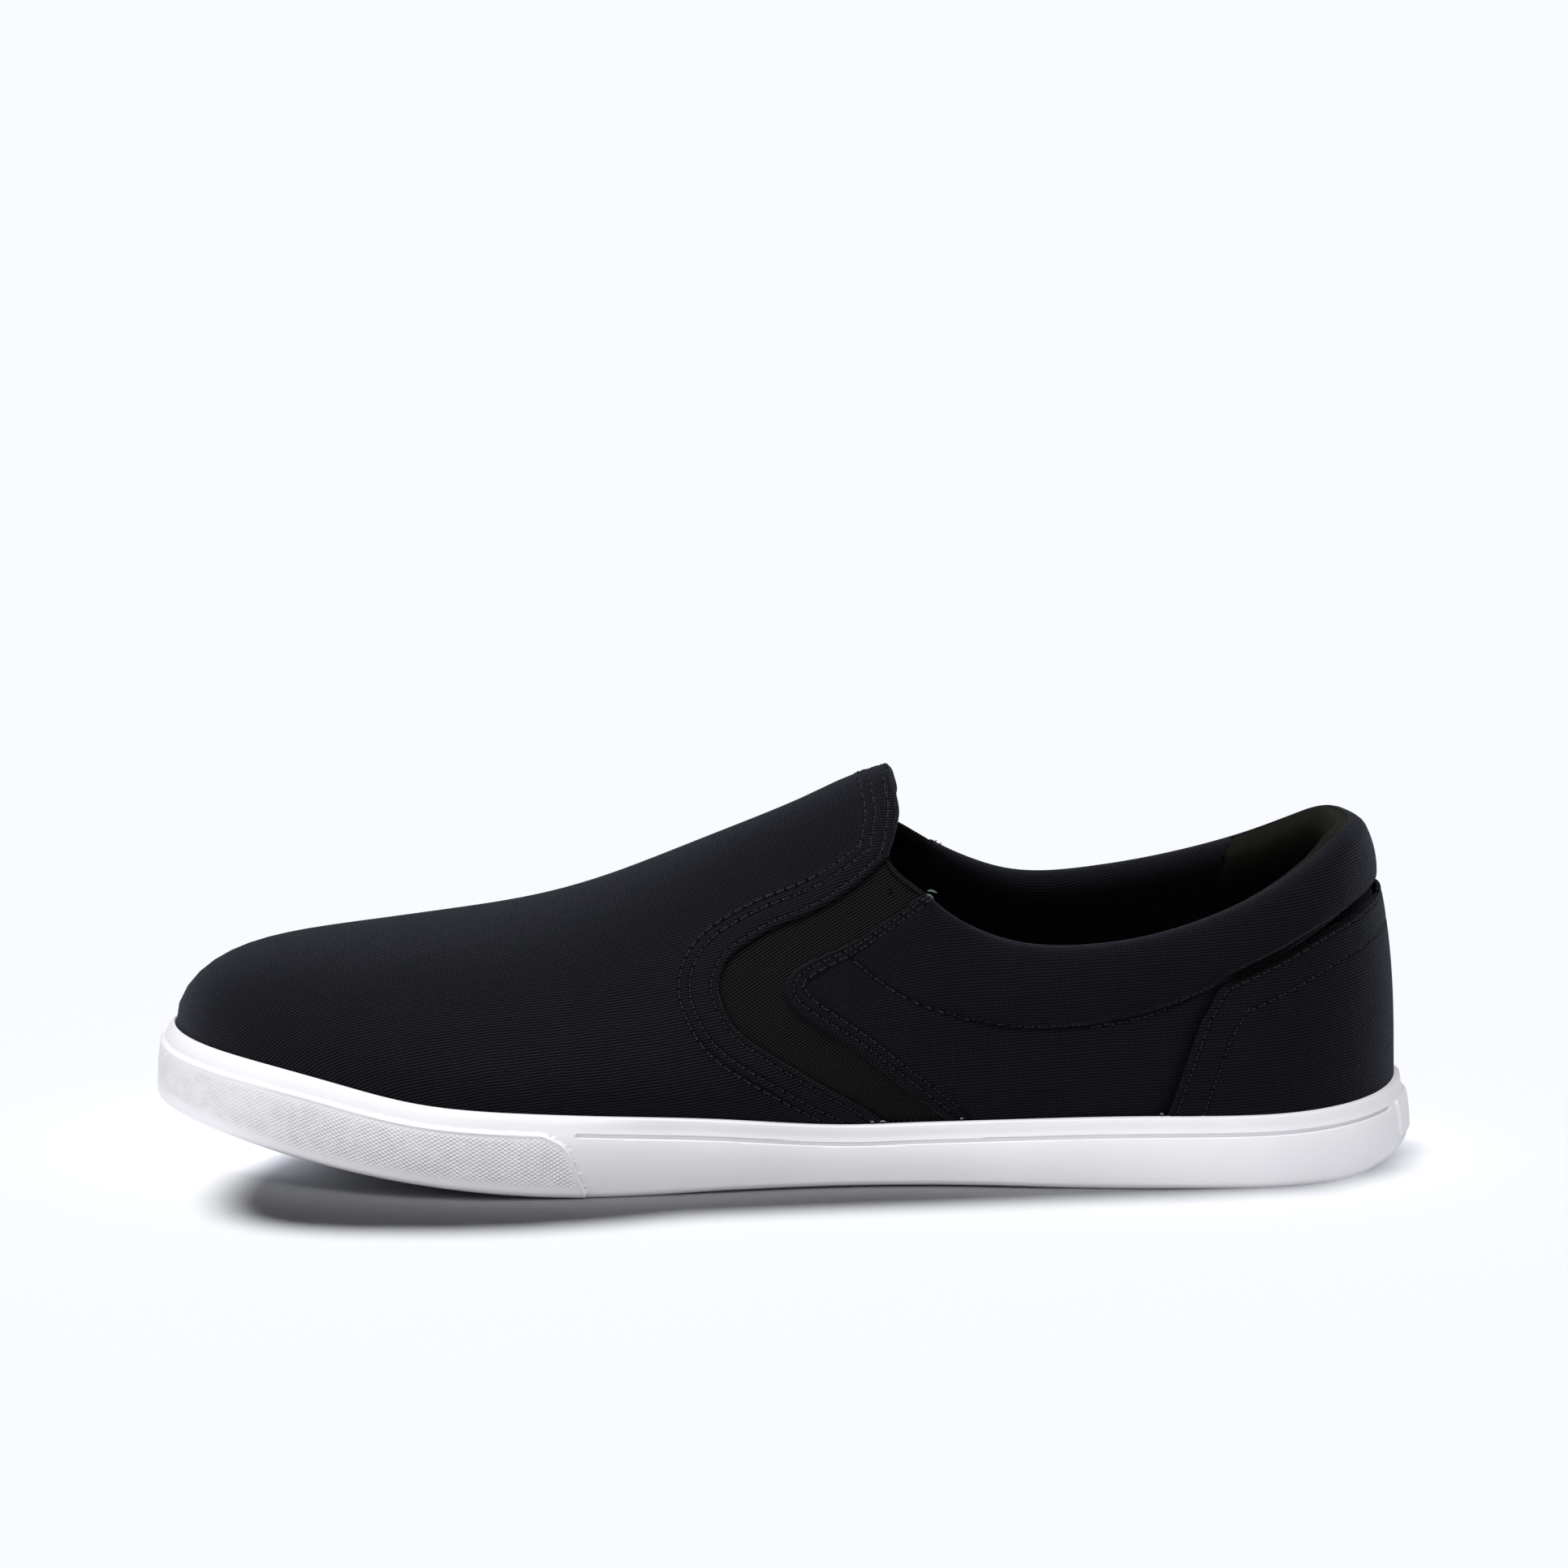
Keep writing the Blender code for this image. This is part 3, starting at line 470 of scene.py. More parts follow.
# Edge of the vamp: from the throat's corner down to the sole, stations and shares of the instep height
VAMP_EDGE = [
    (0.4118, 0.822), (0.4150, 0.812), (0.4205, 0.797), (0.4296, 0.773), (0.4427, 0.742), (0.4604, 0.706),
    (0.4836, 0.671), (0.5070, 0.642), (0.5301, 0.603), (0.5439, 0.571), (0.5504, 0.537), (0.5524, 0.506),
    (0.5485, 0.459), (0.5394, 0.412), (0.5231, 0.369), (0.4938, 0.310), (0.4614, 0.247), (0.4316, 0.191),
    (0.4150, 0.150),
]
# Edge of the quarter: from its top corner down to the sole
QUARTER_EDGE = [
    (0.3821, 0.742), (0.4002, 0.701), (0.4238, 0.651), (0.4471, 0.609), (0.4725, 0.575), (0.4890, 0.548),
    (0.4969, 0.522), (0.4989, 0.493), (0.4911, 0.448), (0.4729, 0.405), (0.4431, 0.346), (0.4153, 0.278),
    (0.3877, 0.210), (0.3640, 0.150),
]
# Seam under the collar, from the front to the heel overlay
SEAM_LINE = [
    (0.4440, 0.570), (0.4191, 0.510), (0.3924, 0.465), (0.3626, 0.435), (0.3328, 0.416), (0.2798, 0.410),
    (0.2423, 0.420), (0.2041, 0.448), (0.1660, 0.495), (0.1430, 0.529),
]
# Distances of the stitch rows from the edge of their panel, by height as a share of the instep height
VAMP_ROWS = [
    # height, first row, second row, third row
    (0.15, 0.0018, 0.0054, 0.0075),
    (0.30, 0.0018, 0.0058, 0.0080),
    (0.45, 0.0017, 0.0066, 0.0091),
    (0.52, 0.0017, 0.0067, 0.0092),
    (0.62, 0.0016, 0.0060, 0.0084),
    (0.72, 0.0016, 0.0051, 0.0074),
    (1.02, 0.0018, 0.0052, 0.0076),
]
QUARTER_ROWS = [
    # height, first row, second row
    (0.15, 0.0024, 0.0046),
    (0.40, 0.0024, 0.0047),
    (0.49, 0.0022, 0.0048),
    (0.56, 0.0017, 0.0034),
    (0.62, 0.0013, 0.0025),
    (0.76, 0.0012, 0.0024),
]
COUNTER_ROWS = [
    # height, first row, second row
    (0.15, 0.0019, 0.0078),
    (0.45, 0.0018, 0.0080),
    (0.60, 0.0016, 0.0082),
    (0.80, 0.0016, 0.0082),
]
# Edge of the heel overlay: from the middle of the heel's top down to the sole
COUNTER_EDGE = [
    (0.0000, 0.700), (0.0060, 0.695), (0.0150, 0.686), (0.0300, 0.669), (0.0500, 0.648), (0.0700, 0.622),
    (0.0900, 0.594), (0.1100, 0.567), (0.1300, 0.540), (0.1400, 0.526), (0.1470, 0.508), (0.1520, 0.480),
    (0.1608, 0.434), (0.1685, 0.374), (0.1793, 0.277), (0.1901, 0.178), (0.1925, 0.155),
]


def smooth_line(rows, count=360):
    """Points spread evenly along a smooth curve through a table of two columns."""
    pts = np.array(rows, float)
    step = np.linalg.norm(np.diff(pts * np.array([LAST, INSTEP_HEIGHT]), axis=0), axis=1)
    at = np.concatenate([[0], np.cumsum(step)])
    table = np.column_stack([at, pts])
    t = np.linspace(0, at[-1], count)
    return np.stack([curve(table, 1)(t), curve(table, 2)(t)], -1)


def place(line, side):
    """A table line of stations and heights as points on the last; its top sits higher on the inner side."""
    x = line[:, 0] * LAST
    z = line[:, 1] * INSTEP_HEIGHT
    if side < 0:
        high = smooth(0.53, 0.78, line[:, 1]) * np.where(line[:, 0] > 0.3, 1.0, 0.0)
        z = z + INNER_RISE * high
        x = x - INNER_SET_BACK * high * np.where(line[0, 0] < 0.4, 1.0, 0.0)
    x = x + lean_at(x, z)
    return np.stack([x, on_side(x, z, np.full(len(x), float(side))), z], -1)


def heel_arc(knots, count):
    """Points evenly along a smooth curve between the third and the fourth of six points."""
    at = np.concatenate([[0], np.cumsum(np.linalg.norm(np.diff(knots, axis=0), axis=1))])
    t = np.linspace(at[2], at[3], count)
    return np.stack([curve(np.column_stack([at, knots]), k)(t) for k in (1, 2, 3)], -1)


def round_heel(row):
    """One loop of points round the shoe, with a smooth curve over the middle of the heel."""
    row = row.copy()
    knots = row[[-24, -18, -HEEL_RIBS, HEEL_RIBS, 18, 24]]
    row[np.arange(-HEEL_RIBS, HEEL_RIBS + 1)] = heel_arc(knots, 2 * HEEL_RIBS + 1)
    return row


def over_heel(line, other):
    """A line of one side, led over the middle of the heel to where the other side's line starts."""
    arc = heel_arc(np.concatenate([other[[52, 36, 20]], line[[20, 36, 52]]]), HEEL_ARC)
    return np.concatenate([arc, line[21:]])


def nearest(points, line):
    """Distance from each point to a dense line of points, measured to its segments."""
    out = np.empty(len(points))
    a = line[:-1]
    ab = line[1:] - line[:-1]
    size = np.maximum(np.sum(ab * ab, -1), 1e-16)
    for k in range(0, len(points), 4000):
        p = points[k:k + 4000, None]
        t = np.clip(np.sum((p - a) * ab, -1) / size, 0, 1)
        out[k:k + 4000] = np.linalg.norm(p - (a + ab * t[..., None]), axis=-1).min(1)
    return out


def line_x(line, z, top_value):
    """The x of a falling line at each height; above its top end, one value."""
    zs = line[::-1, 2]
    xs = line[::-1, 0]
    order = np.argsort(zs)
    got = np.interp(z, zs[order], xs[order])
    return np.where(z > zs.max(), top_value, got)


# How near to a cutting line a vertex counts as lying on it
ON_LINE = 2e-5
# Half the length over which the way up is measured
UP_REACH = 0.0008
RELAX_ROUNDS = 40
# Turn past which the canvas of the vamp is laid flat
FRONT_TURN = 0.37
# The grid row on which the run round the wall is measured
LEVEL_ROW = RIB_POINTS * 11 // 17
# Rows of the wall's mesh, from below the foot line up over the roll and down inside
BELOW_FOOT = (0.0045, 0.0030, 0.0015, 0.0005)
LOW_ROWS = 39
NEAR_ROWS = 33
ROLL_ROWS = 15
FOOT_ROW = len(BELOW_FOOT)
NEAR_ROW = FOOT_ROW + LOW_ROWS
ROLL_ROW = NEAR_ROW + NEAR_ROWS
# Column numbers of a panel's vertices
P, N, W, U, V, FV, FQ, FC, FS, D, LAP, BX, BZ, FU, FW = 0, 3, *range(6, 19)
WIDTH = 19


def master_grid():
    """Every vertex of the loop round the wall of the upper: outer face, rolled edge and inner face."""
    turn, side, grid = ribs(RIBS, RIB_POINTS)
    grid = np.stack([round_heel(grid[:, k]) for k in range(grid.shape[1])], 1)
    normal = grid_normals(grid)
    radius = roll_radius(turn)
    swell = roll_swell(turn)
    band = roll_band(turn) * (1 - 0.07 * smooth(0.18, 0.27, turn))
    step = np.linalg.norm(np.diff(grid, axis=1), axis=-1)
    length = step.sum(1)
    run = np.concatenate([np.zeros((RIBS, 1)), np.cumsum(step, 1)], 1)
    near = np.minimum(1.30 * band, length * 0.66)

    def at(distance):
        """Base point, normal and upward tangent of each rib at a distance below the top line."""
        point, way, up = np.empty((3, RIBS, 3))
        for i in range(RIBS):
            s = np.clip(length[i] - distance[i], 0, length[i])
            above = min(s + UP_REACH, length[i])
            for k in range(3):
                line = grid[i, :, k]
                point[i, k] = np.interp(s, run[i], line)
                way[i, k] = np.interp(s, run[i], normal[i, :, k])
                up[i, k] = np.interp(above, run[i], line) - np.interp(above - 2 * UP_REACH, run[i], line)
        return point, unit(way), unit(up)

    def puff(distance):
        """How far the padding stands out of the wall."""
        share = distance / band
        padded = swell * np.sin(np.pi * np.clip(share, 0, 1)) ** 0.75
        return padded - 0.0005 * smooth(0, 0.001, swell) * np.exp(-((share - 1.0) / 0.045) ** 2)

    def thick(distance):
        """Thickness of the wall, which grows to the roll's at the top."""
        return WALL + (2 * radius - WALL) * (1 - smooth(radius, 1.4 * band, distance))

    rows = []

    def wall_rows(start, end, shares, inner):
        """Add a row of points at each share of the way between two distances."""
        for t in shares:
            d = start + (end - start) * t
            base, way, _ = at(d)
            if inner:
                rows.append((base - way * thick(d)[:, None], -way, base, -d, d))
            else:
                rows.append((base + way * puff(d)[:, None], way, base, d, d))

    foot, flat, _ = at(length)
    flat[:, 2] = 0
    flat = unit(flat)
    for drop in BELOW_FOOT:
        low = foot.copy()
        low[:, 2] -= drop
        rows.append((low, flat, foot, length + drop, length + drop))
    wall_rows(near, length, np.linspace(1, 0, LOW_ROWS + 1)[:-1], False)
    wall_rows(radius, near, np.linspace(1, 0, NEAR_ROWS + 1)[:-1], False)
    edge = puff(radius)
    for angle in np.linspace(0, np.pi, ROLL_ROWS):
        d = radius * (1 - np.sin(angle))
        base, way, up = at(d)
        depth = radius * (1 - np.cos(angle)) - edge * np.cos(angle / 2) ** 2
        out = way * np.cos(angle) + up * np.sin(angle)
        rows.append((base - way * depth[:, None], out, base, radius * np.cos(angle), d))
    wall_rows(radius, near, np.linspace(0, 1, 24)[1:], True)
    wall_rows(near, length, np.linspace(0, 1, 20)[1:], True)
    cells = np.zeros((RIBS, len(rows), WIDTH))
    base = np.stack([row[2] for row in rows], 1)
    cells[..., P:P + 3] = np.stack([row[0] for row in rows], 1)
    cells[..., N:N + 3] = np.stack([row[1] for row in rows], 1)
    cells[..., W] = np.stack([row[3] for row in rows], 1)
    cells[..., D] = np.stack([row[4] for row in rows], 1)
    cells[..., LAP] = (turn * side)[:, None]
    cells[..., BX] = base[..., 0]
    cells[..., BZ] = base[..., 2]
    level = grid[:, LEVEL_ROW]
    around = np.linalg.norm(np.roll(level, -1, 0) - level, axis=-1)
    lap_run = np.concatenate([[0], np.cumsum(around)])[:-1]
    cells[..., U] = np.where(side > 0, lap_run, lap_run - around.sum())[:, None]
    up_run = np.linalg.norm(np.diff(cells[..., P:P + 3], axis=1), axis=-1)
    cells[:, 1:, V] = np.cumsum(up_run, 1)
    front = np.where(turn > FRONT_TURN)[0]
    cells[front, :, FU:FW + 1] = lay_flat(cells[front])
    for s in (1.0, -1.0):
        mine = side == s
        points = base[mine]
        gaps = edge_distances(points.reshape(-1, 3), s)
        cells[mine, :, FV:FS + 1] = gaps.reshape(*points.shape[:2], 4)
    return cells


def edge_distances(points, side):
    """Signed distances inside the edges of vamp, quarter and overlay, and distance from the collar's seam."""
    vamp = place(smooth_line(VAMP_EDGE), side)
    quarter = place(smooth_line(QUARTER_EDGE), side)
    counter_line = smooth_line(COUNTER_EDGE)
    counter = place(counter_line, side)
    throat = top_point(np.linspace(1, 0.565, 160), np.full(160, side))
    x, _, z = points.T
    station = (x - lean_at(x, z)) / LAST
    top = np.interp(station, counter_line[:230, 0], counter_line[:230, 1]) * INSTEP_HEIGHT
    front = np.interp(z, counter[::-1, 2], counter[::-1, 0])
    out = []
    for inside, line in (
        (x > line_x(vamp, z, 0.36 * LAST), np.concatenate([throat, vamp])),
        (x < line_x(quarter, z, quarter[0, 0]), quarter),
        ((z < top) & (x < front), over_heel(counter, place(counter_line, -side))),
        (True, place(smooth_line(SEAM_LINE), side)),
    ):
        gap = nearest(points, line)
        out.append(np.where(inside, gap, -gap))
    return np.stack(out, -1)


def relax(points, faces, flat):
    """Lay a net on a plane, as complex numbers, with each triangle as near to its own shape as it can be."""
    corner = points[faces]
    ab = corner[:, 1] - corner[:, 0]
    ac = corner[:, 2] - corner[:, 0]
    size = np.linalg.norm(ab, axis=-1)
    along = np.sum(ac * ab, -1) / np.maximum(size, 1e-9)
    high = np.sqrt(np.maximum(np.sum(ac * ac, -1) - along ** 2, 1e-14))
    rest = np.stack([0 * size, size, along + 1j * high], 1)
    a, b, c = flat[faces].T
    if np.median((np.conj(b - a) * (c - a)).imag) < 0:
        rest = np.conj(rest)
    total = np.zeros((len(points), len(points)))
    edges = []
    for k in range(3):
        i, j = faces[:, k], faces[:, (k + 1) % 3]
        across = rest[:, (k + 2) % 3]
        both = np.conj(rest[:, k] - across) * (rest[:, (k + 1) % 3] - across)
        weight = np.clip(0.5 * both.real / np.maximum(np.abs(both.imag), 1e-12), 0.02, 20)
        edges.append((i, j, weight * (rest[:, (k + 1) % 3] - rest[:, k])))
        for p, q, sign in ((i, j, -1), (j, i, -1), (i, i, 1), (j, j, 1)):
            np.add.at(total, (p, q), sign * weight)
    total[0, 0] += 1.0
    solve = np.linalg.inv(total)
    for _ in range(RELAX_ROUNDS):
        turned = sum(np.conj(edge) * (flat[j] - flat[i]) for i, j, edge in edges)
        turned = turned / np.maximum(np.abs(turned), 1e-30)
        target = np.zeros(len(points), complex)
        for i, j, edge in edges:
            np.add.at(target, j, edge * turned)
            np.add.at(target, i, -edge * turned)
        flat = solve @ target
    return flat


def lay_flat(cells):
    """Cloth coordinates of the vamp: its surface relaxed onto a plane, with the weave square to the ridge."""
    centre = len(cells) // 2
    columns = np.unique(np.r_[0, centre:0:-4, centre - 2:centre + 3, centre:len(cells):4, len(cells) - 1])
    over_roll = ROLL_ROW + np.array([3, 6, 9, 12, 16, 22, 30, 38])
    rows = np.unique(np.r_[0:ROLL_ROW + 1:4, NEAR_ROW, over_roll])
    net = cells[columns][:, rows]
    points = net[..., P:P + 3]
    crest = int(np.argmin(np.abs(net[0, :, W])))
    way = unit((points[:, 0] - points[:, crest])[:, :2])
    run = net[:, crest:crest + 1, V] - net[..., V]
    start = points[:, crest, None, :2] + way[:, None] * run[..., None]
    faces = triangles(len(columns), len(rows), wrap=False)
    flat = relax(points.reshape(-1, 3), faces, (start[..., 0] + 1j * start[..., 1]).ravel())
    flat = flat.reshape(len(columns), len(rows))
    middle = int(np.where(columns == centre)[0][0])
    ridge = flat[middle, 4] - flat[middle, crest]
    flat = flat * np.abs(ridge) / ridge
    tall = np.stack([np.interp(cells[i, :, V], cells[i, rows, V], line) for i, line in zip(columns, flat)])
    every = np.arange(len(cells))
    out = np.stack([np.interp(every, columns, tall[:, r]) for r in range(cells.shape[1])], 1)
    return np.stack([out.real, out.imag], -1)


def triangles(columns, rows, wrap=True):
    """Triangle list of a grid stored column by column."""
    i = np.arange(columns if wrap else columns - 1)[:, None]
    k = np.arange(rows - 1)[None, :]
    j = (i + 1) % columns
    a = i * rows + k
    b = j * rows + k
    c = j * rows + k + 1
    d = i * rows + k + 1
    return np.concatenate([np.stack([a, b, c], -1).reshape(-1, 3), np.stack([a, c, d], -1).reshape(-1, 3)])


def split(cells, faces, value):
    """Cut the triangles where value is zero; returns cells, faces and value with the new vertices."""
    value = np.where(np.abs(value) < ON_LINE, 0.0, value)
    s = np.sign(value)[faces]
    crossed = (s.min(1) < 0) & (s.max(1) > 0)
    work = faces[crossed]
    if not len(work):
        return cells, faces, value
    s = s[crossed]
    touching = (s == 0).any(1)
    lone = np.where(touching, 0, np.where(s.sum(1) > 0, -1, 1))
    first = np.argmax(s == lone[:, None], 1)
    turned = np.take_along_axis(work, (first[:, None] + np.arange(3)) % 3, 1)
    two = turned[touching]
    three = turned[~touching]
    pairs = np.concatenate([two[:, [1, 2]], three[:, [0, 1]], three[:, [0, 2]]])
    ends, which = np.unique(np.sort(pairs, 1), axis=0, return_inverse=True)
    a, b = value[ends[:, 0]], value[ends[:, 1]]
    t = (a / (a - b))[:, None]
    made = cells[ends[:, 0]] * (1 - t) + cells[ends[:, 1]] * t
    middle, ab, ac = np.split(which.reshape(-1) + len(cells), [len(two), len(two) + len(three)])
    pieces = [
        (two[:, 0], two[:, 1], middle), (two[:, 0], middle, two[:, 2]),
        (three[:, 0], ab, ac), (ab, three[:, 1], three[:, 2]), (ab, three[:, 2], ac),
    ]
    faces = np.concatenate([faces[~crossed]] + [np.stack(piece, -1) for piece in pieces])
    return np.concatenate([cells, made]), faces, np.concatenate([value, np.zeros(len(made))])


def cut_lines(cells, faces, field, levels):
    for level in levels:
        cells, faces, _ = split(cells, faces, field(cells) - level)
    return cells, faces


def keep_where(cells, faces, field):
    """Keep what lies where the field is above zero, with a clean edge."""
    cells, faces, value = split(cells, faces, field(cells))
    middle = value[faces]
    good = (middle.min(1) >= 0) & (middle.max(1) > 0)
    faces = faces[good]
    used, inverse = np.unique(faces, return_inverse=True)
    return cells[used], inverse.reshape(-1, 3)


def unit(v):
    return v / np.maximum(np.linalg.norm(v, axis=-1), 1e-12)[..., None]


def new_piece(name, points, faces, material, rounded=True):
    """A mesh object that follows the shoe's body."""
    mesh = bpy.data.meshes.new(name)
    mesh.from_pydata(np.asarray(points).tolist(), [], faces)
    if rounded:
        mesh.shade_smooth()
    mesh.materials.append(material)
    piece = bpy.data.objects.new(name, mesh)
    bpy.context.scene.collection.objects.link(piece)
    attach(piece, "root")
    return piece


def mesh_piece(name, points, faces, material, uv, slot, **values):
    """A piece given in the shoe's own frame, with cloth coordinates and values at its vertices."""
    piece = new_piece(name, points + SHIFT, faces.tolist(), material)
    mesh = piece.data
    corners = np.empty(len(mesh.loops), int)
    mesh.loops.foreach_get("vertex_index", corners)
    mesh.uv_layers.new(name="metres").data.foreach_set("uv", np.asarray(uv)[corners].ravel())
    for key, value in values.items():
        mesh.attributes.new(key, "FLOAT", "POINT").data.foreach_set("value", np.asarray(value, np.float32))
    mesh.validate()
    return piece


def noise(points, size, seed):
    """Smooth, repeatable unevenness between about -1 and 1."""
    gen = np.random.default_rng(seed)
    out = np.zeros(len(points))
    for _ in range(9):
        way = gen.normal(size=3)
        way /= np.linalg.norm(way)
        freq = gen.uniform(0.6, 1.5) / size
        out += np.sin(points @ way * 2 * np.pi * freq + gen.uniform(0, 6.28))
    return out / 3.5


def fold_height(f, size, depth):
    """A folded edge: the height falls by depth in a quarter round over the first size of distance."""
    s = np.clip(1 - f / size, 0, 1)
    return -depth * (1 - np.sqrt(np.maximum(1 - s * s, 0)))


def groove(f, centre, half):
    return np.exp(-((f - centre) / half) ** 2)


# Materials: pitch of the weave, of the elastic's weft and ribs and of the bumper's scales, in metres
CANVAS_PITCH = (0.00054, 0.00070)
ELASTIC_PITCH = (0.00052, 0.00064)
SCALE_PITCH = (0.00150, 0.00093)


class Value:
    """A number inside a material's node tree; arithmetic on it adds nodes."""

    def __init__(self, net, socket):
        self.net = net
        self.socket = socket

    def __add__(self, other):
        return self.net.math("ADD", self, other)

    def __sub__(self, other):
        return self.net.math("SUBTRACT", self, other)

    def __mul__(self, other):
        return self.net.math("MULTIPLY", self, other)

    def __truediv__(self, other):
        return self.net.math("DIVIDE", self, other)

    def __pow__(self, other):
        return self.net.math("POWER", self, other)

    def __abs__(self):
        return self.net.math("ABSOLUTE", self)


class Net:
    """A new material and short names for the nodes that the materials here use."""

    def __init__(self, name, rough, specular):
        self.material = bpy.data.materials.new(name)
        self.material.use_nodes = True
        self.tree = self.material.node_tree
        self.shader = self.tree.nodes["Principled BSDF"]
        self.shade(Roughness=rough)
        self.put(self.shader.inputs["Specular IOR Level"], specular)

    def put(self, target, value):
        if isinstance(value, Value):
            self.tree.links.new(value.socket, target)
        else:
            target.default_value = value

    def node(self, kind, output, inputs, **settings):
        """Value of one output of a new node, after its inputs are set or linked."""
        made = self.tree.nodes.new(kind)
        for key, value in settings.items():
            setattr(made, key, value)
        for key, value in inputs.items():
            self.put(made.inputs[key], value)
        return Value(self, made.outputs[output])

    def shade(self, **inputs):
        """Set or link inputs of the shader; an underscore stands for a space."""
        for key, value in inputs.items():
            self.put(self.shader.inputs[key.replace("_", " ")], value)

    def math(self, operation, *terms):
        return self.node("ShaderNodeMath", 0, dict(enumerate(terms)), operation=operation)

    def metres(self):
        """The place on the cloth or rubber, in metres along its surface."""
        return self.node("ShaderNodeUVMap", 0, {}, uv_map="metres")

    def attribute(self, name):
        return self.node("ShaderNodeAttribute", "Fac", {}, attribute_name=name)

    def parts(self, vector):
        """The first two parts of a vector."""
        made = self.node("ShaderNodeSeparateXYZ", 0, {0: vector})
        return made, Value(self, made.socket.node.outputs[1])

    def vector(self, x, y):
        return self.node("ShaderNodeCombineXYZ", 0, {0: x, 1: y, 2: 0.0})

    def noise(self, vector, scale, detail=2.0, rough=0.5):
        return self.node("ShaderNodeTexNoise", "Fac", {
            "Vector": vector, "Scale": scale, "Detail": detail, "Roughness": rough})

    def span(self, value, low, high, out_low=0.0, out_high=1.0):
        return self.node("ShaderNodeMapRange", "Result", {
            "Value": value, "From Min": low, "From Max": high, "To Min": out_low, "To Max": out_high})

    def bump(self, height, distance, strength=1.0):
        inputs = {"Height": height, "Distance": distance, "Strength": strength}
        return self.node("ShaderNodeBump", "Normal", inputs)

    def ramp(self, value, *colours):
        """Colour that runs evenly through the given ones as the value goes from 0 to 1."""
        made = self.node("ShaderNodeValToRGB", "Color", {"Fac": value})
        stops = made.socket.node.color_ramp.elements
        while len(stops) < len(colours):
            stops.new(0.5)
        for k, colour in enumerate(colours):
            stops[k].position = k / (len(colours) - 1)
            stops[k].color = (*colour, 1.0)
        return made


def shaded(net, colour):
    """Colour with painted shade where the attribute shade is above zero, in folds, under edges and deep
    inside, and painted light where it is below zero.
    """
    left = net.math("MAXIMUM", net.math("SUBTRACT", 1.0, net.attribute("shade")), 0.0)
    return net.node("ShaderNodeVectorMath", 0, {0: colour, "Scale": left}, operation="SCALE")


def canvas_material(name, dark, light, turn, contrast):
    """Plain-weave canvas: two sets of threads that pass over and under, uneven in thickness and tone."""
    net = Net(name, 0.92, 0.06)
    where = net.metres()
    if turn:
        turned = {"Vector": where, "Angle": turn}
        where = net.node("ShaderNodeVectorRotate", 0, turned, rotation_type="Z_AXIS")
    x, y = net.parts(where)
    wobble = (net.noise(where, 90.0) - 0.5) * 1.2
    x = x / CANVAS_PITCH[0] + wobble
    y = y / CANVAS_PITCH[1] + wobble
    sx = net.math("SINE", x * np.pi)
    sy = net.math("SINE", y * np.pi)
    both = sx * sy
    warp = abs(sx) * (both * 0.5 + 0.5)
    weft = abs(sy) * (both * -0.5 + 0.5)
    height = net.math("MAXIMUM", warp, weft) * (abs(sy) * 0.55 + 0.45)
    slub_x = net.noise(net.vector(x, y * 0.035), 1.0, 2.0, 0.7)
    slub_y = net.noise(net.vector(x * 0.035, y), 1.0, 2.0, 0.7)
    slub = (slub_x + slub_y) * 0.5
    cloud = net.noise(where, 38.0, 4.0, 0.6)
    fuzz = net.noise(where, 4200.0, 2.0, 0.8)
    tone = height * (1.3 * contrast) + slub * 0.75 + cloud * 0.25 + fuzz * 0.20
    low = 0.572 * contrast + 0.159
    middle = tuple(0.36 * b + 0.64 * a for a, b in zip(dark, light))
    colour = net.ramp(net.span(tone, low, low + 1.05), dark, middle, light)
    rise = height + slub * 0.6 + fuzz * 0.25
    net.shade(Base_Color=shaded(net, colour), Normal=net.bump(rise, 0.00020, 0.9), Sheen_Weight=0.20,
              Sheen_Roughness=0.30, Sheen_Tint=(0.50, 0.54, 0.68, 1.0))
    return net.material


def elastic_material(name, dark, light):
    """Ribbed elastic webbing: fine ribs along one way, crossed by the weft."""
    net = Net(name, 0.85, 0.06)
    x, y = net.parts(net.metres())
    along = x / ELASTIC_PITCH[0]
    across = y / ELASTIC_PITCH[1]
    rib = abs(net.math("SINE", across * np.pi))
    weft = abs(net.math("SINE", along * np.pi))
    height = rib * 0.8 + weft * 0.35
    grain = net.noise(net.vector(along * 0.05, across), 1.0, 3.0, 0.8)
    tone = height ** 5.0 + grain * 0.80
    colour = net.ramp(net.span(tone, 0.45, 1.65), dark, light)
    net.shade(Base_Color=shaded(net, colour), Normal=net.bump(height, 0.00022))
    return net.material


def cloth_material(name, dark, light):
    """Napped lining cloth."""
    net = Net(name, 0.95, 0.1)
    where = net.metres()
    grain = net.noise(where, 2600.0, 3.0, 0.75)
    tone = grain * 0.7 + net.noise(where, 90.0, 3.0, 0.6) * 0.4
    colour = net.ramp(net.span(tone, 0.3, 0.8), dark, light)
    net.shade(Base_Color=shaded(net, colour), Normal=net.bump(grain, 0.00025, 0.8))
    return net.material


def thread_material(name, colour):
    net = Net(name, 0.6, 0.4)
    grain = net.noise(net.node("ShaderNodeTexCoord", "Object", {}), 3000.0, 2.0, 0.6)
    low = tuple(0.55 * c for c in colour)
    tone = net.span(grain, 0.3, 0.75)
    net.shade(Base_Color=net.ramp(tone, low, colour), Normal=net.bump(grain, 0.0001, 0.6))
    return net.material


